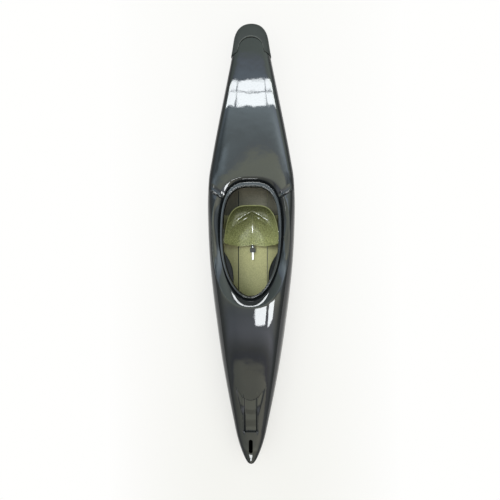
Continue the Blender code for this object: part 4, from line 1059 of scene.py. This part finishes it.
bumper_grid = []
for t in np.linspace(0, 1, CAP_ROWS):
    crowded = (1 - t) ** CROWDING
    row = hull_row(STERN_END + (BUMPER_LEG - STERN_END) * crowded)
    for share in [1.0] + COLUMNS[-2::-1]:
        y = STERN_END + (notch_end(share) - STERN_END) * crowded
        row.append((share * half_beam(y), y, deck_height(share, y, 0.0)))
    bumper_grid.append(row)
grown = inset(bumper_grid, -FIT)
grown[-1, :, 0] = 0.0
bumper = surface("bumper", [grown], (0, 1, 0))
weights = bumper.vertex_groups.new(name="thickness")
for vertex in bumper.data.vertices:
    along = min(max((vertex.co.y - BUMPER_LEG) / (STERN_END - BUMPER_LEG), 0.0), 1.0)
    weights.add([vertex.index], (BUMPER_SIDE + (BUMPER_TIP - BUMPER_SIDE) * along**2) / BUMPER_TIP, "REPLACE")
mirrored(bumper)
thickened(bumper, BUMPER_TIP, 1, "thickness")
settled(bevelled(bumper, 0.0015, 3, 50), 50)
aboard(bumper, "stern_bumper", bumper_soft)

# %% [markdown]
# ## Seat
# The bucket is one sheet of laminate: a shallow bowl that climbs to a rim behind and at the sides, with
# a ridge between the legs, two folds behind it and a two-lobed front edge towards the rail's clamp.

# %% Sizes of the seat
SEAT_WALL = 0.003
SEAT_CENTRE = 0.030
SEAT_REAR = 0.239
SEAT_FRONT = -0.0055
SEAT_POWER = 3.6
SEAT_TAPER = 0.16
SEAT_FLOOR = 0.034
SEAT_RIM_REAR = 0.118
SEAT_RIM_SIDE = 0.132
SEAT_PAN_POWER = 1.3
SEAT_PAN_REACH = 0.9
SEAT_CLIMB = 3.2
SEAT_RIDGE = 0.008
SEAT_RIDGE_WIDTH = 0.018
SEAT_LOBE = 0.0095
SEAT_LOBE_END = 0.85
SEAT_TUCK = 1.6
SEAT_POINTS = 81
SEAT_HALF = OPENING_HALF + COAMING_WALL - SEAT_WALL
print("seat", round(2 * SEAT_HALF, 3), "wide and", round(SEAT_CENTRE + SEAT_REAR - SEAT_FRONT, 3), "long")


# %% Seat
def folded(x, y):
    """Height of the two V-shaped folds, where the cloth of the pan was turned up into the back."""
    height = 0.0
    for top, lean, inner in FOLDS:
        away = (y - top + lean * x) / (FOLD_WIDTH * math.hypot(1, lean))
        ends = np.interp(
            x, (inner, inner + 2 * FOLD_END, FOLD_REACH - FOLD_END, FOLD_REACH + FOLD_END), (0, 1, 1, 0),
        )
        height += FOLD_HEIGHT * math.exp(-away * away) * float(ends)
    return height


def seat_height(x, y):
    back = min(max(y - SEAT_CENTRE, 0.0) / SEAT_REAR, 1.0)
    side = min(x / (SEAT_HALF * (1 - SEAT_TAPER * back)), 1.0)
    out = min((side**SEAT_POWER + back**SEAT_POWER) ** (1 / SEAT_POWER), 1.0)
    pan = min((side**SEAT_PAN_POWER + (back / SEAT_PAN_REACH) ** SEAT_PAN_POWER) ** (1 / SEAT_PAN_POWER), 1.0)
    climb = pan + (out - pan) * out**2
    rim_height = SEAT_RIM_SIDE + (SEAT_RIM_REAR - SEAT_RIM_SIDE) * back**2
    ridge = SEAT_RIDGE * math.exp(-x / SEAT_RIDGE_WIDTH) * max(0.0, 1 - back * 1.1)
    return SEAT_FLOOR + (rim_height - SEAT_FLOOR) * climb**SEAT_CLIMB + ridge + folded(x, y)


seat_stations = []
for angle in np.radians(np.linspace(0, 90, SEAT_POINTS)):
    back = max(math.cos(angle), 0.0) ** (2 / SEAT_POWER)
    width = math.sin(angle) ** (2 / SEAT_POWER) * (1 - SEAT_TAPER * back)
    seat_stations.append((width, SEAT_CENTRE + SEAT_REAR * back))
seat_stations += [(1.0, y) for y in steps(SEAT_CENTRE, (SEAT_FRONT, 8))[1:]]
seat_grid = []
for width, y in seat_stations:
    near = max(0.0, (SEAT_CENTRE - y) / (SEAT_CENTRE - SEAT_FRONT))
    row = []
    for share in np.linspace(0, 1, SEAT_POINTS):
        x = share * width * SEAT_HALF
        lobe = math.sin(math.pi * min(share / SEAT_LOBE_END, 1.0)) ** 2
        tuck = SEAT_TUCK * max(share - SEAT_LOBE_END, 0.0) / (1 - SEAT_LOBE_END)
        row.append((x, y - SEAT_LOBE * (lobe - tuck) * near, seat_height(x, y)))
    seat_grid.append(row)
seat = surface("seat", [seat_grid])
settled(bevelled(thickened(mirrored(seat), SEAT_WALL), 0.0008, 2, 60), 50)
aboard(seat, "seat_shell", seat_cloth, "seat")

# %% [markdown]
# ## Thigh braces
# The knees press up under these curved plates. Each is bonded under the ledge, passes down behind the
# rim's skirt and reaches in over the thigh, where its edge is turned down.

# %% Braces
BRACE_WALL = 0.004
BRACE_REAR = -0.055
BRACE_FRONT = -0.265
BRACE_REACH = 0.033
BRACE_BACK = 0.026
BRACE_LIP = 0.014
BRACE_ROWS = 25


def opening_half_at(y):
    """Half width of the opening at a place along the boat."""
    reach = OPENING_REAR if y > COCKPIT_Y else OPENING_FRONT
    power = OPENING_POWERS[0] if y > COCKPIT_Y else OPENING_POWERS[1]
    along = min(abs(y - COCKPIT_Y) / reach, 1.0)
    return OPENING_HALF * (1 - along**power) ** (1 / power)


def brace_row(sign, y, reach):
    skirt = opening_half_at(y)
    behind = skirt + COAMING_WALL + 5 * FIT
    under = ledge(y) - COAMING_SKIRT - 2 * FIT
    deck_under = ledge(y) - LAMINATE - FIT
    path = (
        (behind + BRACE_BACK, deck_under), (behind + 0.006, deck_under), (behind + 0.001, deck_under - 0.002),
        (behind, deck_under - 0.006), (behind, under), (behind - 0.003, under - 0.002),
        (skirt - 0.5 * reach, under - 0.002), (skirt + 0.003 - reach, under - 0.0035),
        (skirt + 0.001 - reach, under - 0.006), (skirt - reach, under - BRACE_LIP),
    )
    return [(sign * x, y, z) for x, z in path]


for side, sign in (("left", 1), ("right", -1)):
    rows = []
    for t in np.linspace(0, 1, BRACE_ROWS):
        place = BRACE_REAR + (BRACE_FRONT - BRACE_REAR) * t
        rows.append(brace_row(sign, place, BRACE_REACH * math.sin(math.pi * t)))
    brace = surface(f"brace_{side}", [rows])
    settled(bevelled(thickened(brace, BRACE_WALL), 0.001, 2, 50), 50)
    aboard(brace, f"thigh_brace_{side}", black)

# %% [markdown]
# ## Fittings that keep their solids
# The rail, clamp, hangers, footrest and foam have the right shape already, so they only get a finish.

# %% Finishes of the carried solids
def sided(*names):
    return [f"{name}_{side}" for name in names for side in ("left", "right")]


CARRIED = (
    (pocket, ["bow_slot_well"]),
    (alloy, ["footrest_plate"] + sided("seat_hanger", "footrest_rail")),
    (steel, ["seat_rail", "seat_clamp_bolt"]),
    (steel, [f"{name}_{end}" for name in sided("seat_bolt", "footrest_screw") for end in ("rear", "front")]),
    (dark_metal, ["seat_clamp_block"]),
    # The left floor strip takes the paler laminate: painted light on one of two like strips
    (strip_painted_light, ["floor_strip_left"]),
    (black, ["floor_strip_right"]),
    (plastic, sided("footrest_shoe", "footrest_knob")),
    (foam, ["stern_foam_pillar", "bow_foam_pillar"] + sided("footrest_pad")),
)
for material, names in CARRIED:
    for name in names:
        for material_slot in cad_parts[name].material_slots:
            material_slot.material = material
print(sum(len(names) for _, names in CARRIED), "solids carried over")

# %% [markdown]
# ## Floor and soft light
# The boat lies on a pale studio floor. A dark gloss shows little colour of its own: what it shows is the
# room. So the light is a soft ceiling that is brighter over the stern and dims towards dark walls, and
# the flat of each deck mirrors one part of it.

# %% Studio floor
FLOOR_HALF = 20
FLOOR_DROP = 0.0008
corners = [(x * FLOOR_HALF, y * FLOOR_HALF, 0) for x, y in ((-1, -1), (1, -1), (1, 1), (-1, 1))]
floor_mesh = bpy.data.meshes.new("studio floor")
floor_mesh.from_pydata(corners, [], [range(4)])
floor = linked("studio_floor", floor_mesh)
floor.location.z = -FLOOR_DROP
paper = Finish("floor paper")
cloud = paper.noise(1.5, 3.0, 0.5)
pale = paper.blend(cloud, (0.94, 0.875, 0.84), (0.96, 0.895, 0.86))
floor_mesh.materials.append(paper.wear(Base_Color=pale, Roughness=0.9, Specular_IOR_Level=0.1))
camera_ray, glossy_ray, through_ray = (
    paper.add("ShaderNodeLightPath", output=f"Is {kind} Ray") for kind in ("Camera", "Glossy", "Transmission")
)
seen = camera_ray + glossy_ray + through_ray
glow = paper.add("ShaderNodeEmission", {}, {"Color": (1.0, 1.0, 0.99)})

# The paper glows white at the sides and less by the boat, least by its bow: a painted shade round the boat,
# through which its real shade shows
x, y, z = paper.axes()
near = paper.band(y, -1.6, 0.6, 0.52, 0.80)
far = paper.band(x * x, 0.08, 1.1)
paper.layer(seen * (near + (1.0 - near) * far), Wire(paper, paper.shader.outputs[0]), glow)

# %% Ceiling and walls
world = bpy.data.worlds.new("studio")
bpy.context.scene.world = world
sky = Finish("studio", world)
side, along, up = sky.axes(sky.add("ShaderNodeTexCoord"))


def stretch_of(value, start, full, fading, end):
    """1 over a stretch of the room, and 0 before its start and past its end."""
    return sky.band(value, start, full) * sky.band(value, fading, end, 1.0, 0.0)


# The stripes of the ceiling lie across the boat, slightly curved, with a jog on the right
dip = sky.band(side, -0.17, -0.07, 0.07, 0.0) * stretch_of(along, 0.10, 0.12, 0.155, 0.17)
place = along + 0.25 * side * side + 0.08 * side + dip
ceiling = sky.ramp(
    sky.band(place, -0.6, 0.6),
    (0.030, (0.84, 0.82, 0.66)), (0.053, (1.13, 1.13, 0.92)), (0.080, (1.10, 1.10, 0.90)),
    (0.110, (0.85, 0.84, 0.70)), (0.152, (0.90, 0.88, 0.73)), (0.170, (0.30, 0.29, 0.35)),
    (0.204, (0.39, 0.38, 0.38)), (0.280, (0.72, 0.73, 0.80)), (0.328, (0.86, 0.88, 1.00)),
    (0.380, (0.72, 0.76, 0.84)), (0.500, (0.96, 0.98, 0.86)), (0.600, (1.42, 1.50, 1.25)),
    (0.616, (1.42, 1.50, 1.25)), (0.626, (0.93, 1.03, 1.12)), (0.637, (1.00, 1.15, 1.22)),
    (0.680, (1.60, 1.90, 2.10)), (0.757, (1.08, 1.28, 1.55)), (0.770, (0.91, 1.01, 1.17)),
    (0.787, (0.81, 0.94, 0.87)), (1.0, (0.70, 0.82, 0.78)),
)
# The left half is the brighter one. The far end and a patch on each side are dim
half_tints = sky.blend(sky.band(side, -0.25, 0.30), (0.75, 0.78, 0.78), (1.30, 1.28, 1.25))
multiply = {"data_type": "RGBA", "blend_type": "MULTIPLY"}
ceiling = sky.add("ShaderNodeMix", multiply, {0: 1.0, 6: ceiling, 7: half_tints}, 2)
far_end = sky.band(along, 0.55, 0.66, 1.0, 0.35)
left_patch = sky.band(side, 0.15, 0.35) * stretch_of(along, -0.05, 0.05, 0.16, 0.20)
right_patch = sky.band(side, -0.20, -0.35) * stretch_of(along, 0.12, 0.16, 0.22, 0.28)
ceiling = sky.scaled(ceiling, far_end * (1.0 - 0.65 * (left_patch + right_patch)))
walls = sky.ramp(
    up, (0.0, (0.80, 0.80, 0.78)), (0.04, (0.80, 0.80, 0.78)), (0.09, (0.17, 0.17, 0.16)),
    (0.5, (0.27, 0.28, 0.27)),
)
sky.wear(Color=sky.blend(sky.band(up, 0.45, 0.85), walls, ceiling), Strength=1.55)

# %% [markdown]
# ## Windows in the reflections
# What tells the eye that a surface is glossy is a sharp bright shape in it. Panes with bars between them
# stand for the tall windows of a room. Each pane is a rectangular lamp, placed by following a line of
# sight from the camera to the deck and on to the ceiling. They show in reflections only, so the light on
# the boat stays soft. One lamp does the reverse: it lights the inside and shows in no reflection. Light
# linking does the work of a studio's black flags: a lamp for one piece's glint doesn't spill onto others.

# %% Panes
DAYLIGHT = (0.95, 0.985, 1.0)
PANE_LEVEL = 2.7


def pane(name, centre, width, length, radiance, turn=0.0, level=PANE_LEVEL, tilt=0.0, pieces=()):
    """A rectangular lamp over the boat, facing down, tilted and turned. It can be kept to some pieces."""
    lamp = bpy.data.lights.new(name, "AREA")
    lamp.shape = "RECTANGLE"
    lamp.size = width
    lamp.size_y = length
    lamp.energy = radiance * math.pi * width * length
    lamp.color = DAYLIGHT
    obj = linked(name, lamp)
    obj.location = (*centre, level)
    obj.rotation_euler = (0.0, math.radians(tilt), math.radians(turn))
    obj.visible_diffuse = False
    if pieces:
        lit = bpy.data.collections.new(name)
        for piece in pieces:
            lit.objects.link(piece)
        obj.light_linking.receiver_collection = lit
    return obj


WINDOW = 16.5
for name, x, y, width, turn in (
    ("left", -1.095, 1.885, 1.43, -12.0), ("middle", -0.18, 1.73, 0.37, 0.0),
    ("right", 0.67, 1.86, 1.29, 11.0),
):
    for row, back, length in (("far", 0.085, 0.15), ("near", -0.115, 0.21)):
        pane(f"stern_{name}_{row}", (x, y + back), width, length, WINDOW, turn)
pane("bow_left", (0.13, -0.80), 0.50, 0.40, WINDOW)
pane("bow_right", (1.02, -0.76), 0.76, 0.62, WINDOW)
pane("left_ridge", (-2.3, 0.1), 0.22, 0.5, 5.0, pieces=[deck])
pane("bow_tip", (-0.25, -3.73), 0.7, 0.34, 13.5, pieces=[deck])
pane("steps", (0.0, 4.6), 9.0, 2.0, 5.0, level=2.2, pieces=[deck])
pane("seat_glint", (0.0, -0.45), 3.0, 0.9, 30.0, pieces=[seat])
inside = [bpy.data.objects[name] for name in ("seat", "floor_cloth", "rear_floor_cloth")]
fill = pane("fill", (-1.8, 1.2), 1.6, 1.6, 9.0, level=2.6, tilt=-35, pieces=inside)
fill.visible_diffuse = True
fill.visible_glossy = False

# %% [markdown]
# ## Camera
# The photograph looks down on the boat and is 500 pixels square. The boat's origin lies at MIDDLE_X,
# MIDDLE_Y in it, and at the gunwale's level one pixel is 6.85 mm. The lens follows from these and from the
# distance. The camera leans a little to the boat's left.

# %% Camera
PIXEL = 0.00685
PHOTO = 500
MIDDLE_X = 251.2
MIDDLE_Y = 244.1
DISTANCE = 4.2
LEAN_LEFT = math.radians(4.5)
SENSOR = 36.0
centre = Vector(((PHOTO / 2 - MIDDLE_X) * PIXEL, (MIDDLE_Y - PHOTO / 2) * PIXEL, SHEER))
camera_data = bpy.data.cameras.new("camera")
camera_data.sensor_width = SENSOR
camera_data.lens = SENSOR * DISTANCE / (PIXEL * PHOTO)
camera_data.clip_end = 100.0
camera = linked("camera", camera_data)
camera.location = centre + Vector((math.sin(LEAN_LEFT), 0.0, math.cos(LEAN_LEFT))) * DISTANCE
camera.rotation_euler.y = LEAN_LEFT
bpy.context.scene.camera = camera
bpy.context.scene.view_settings.view_transform = "Standard"
print("camera", [round(v, 3) for v in camera.location], "lens", round(camera_data.lens, 1))
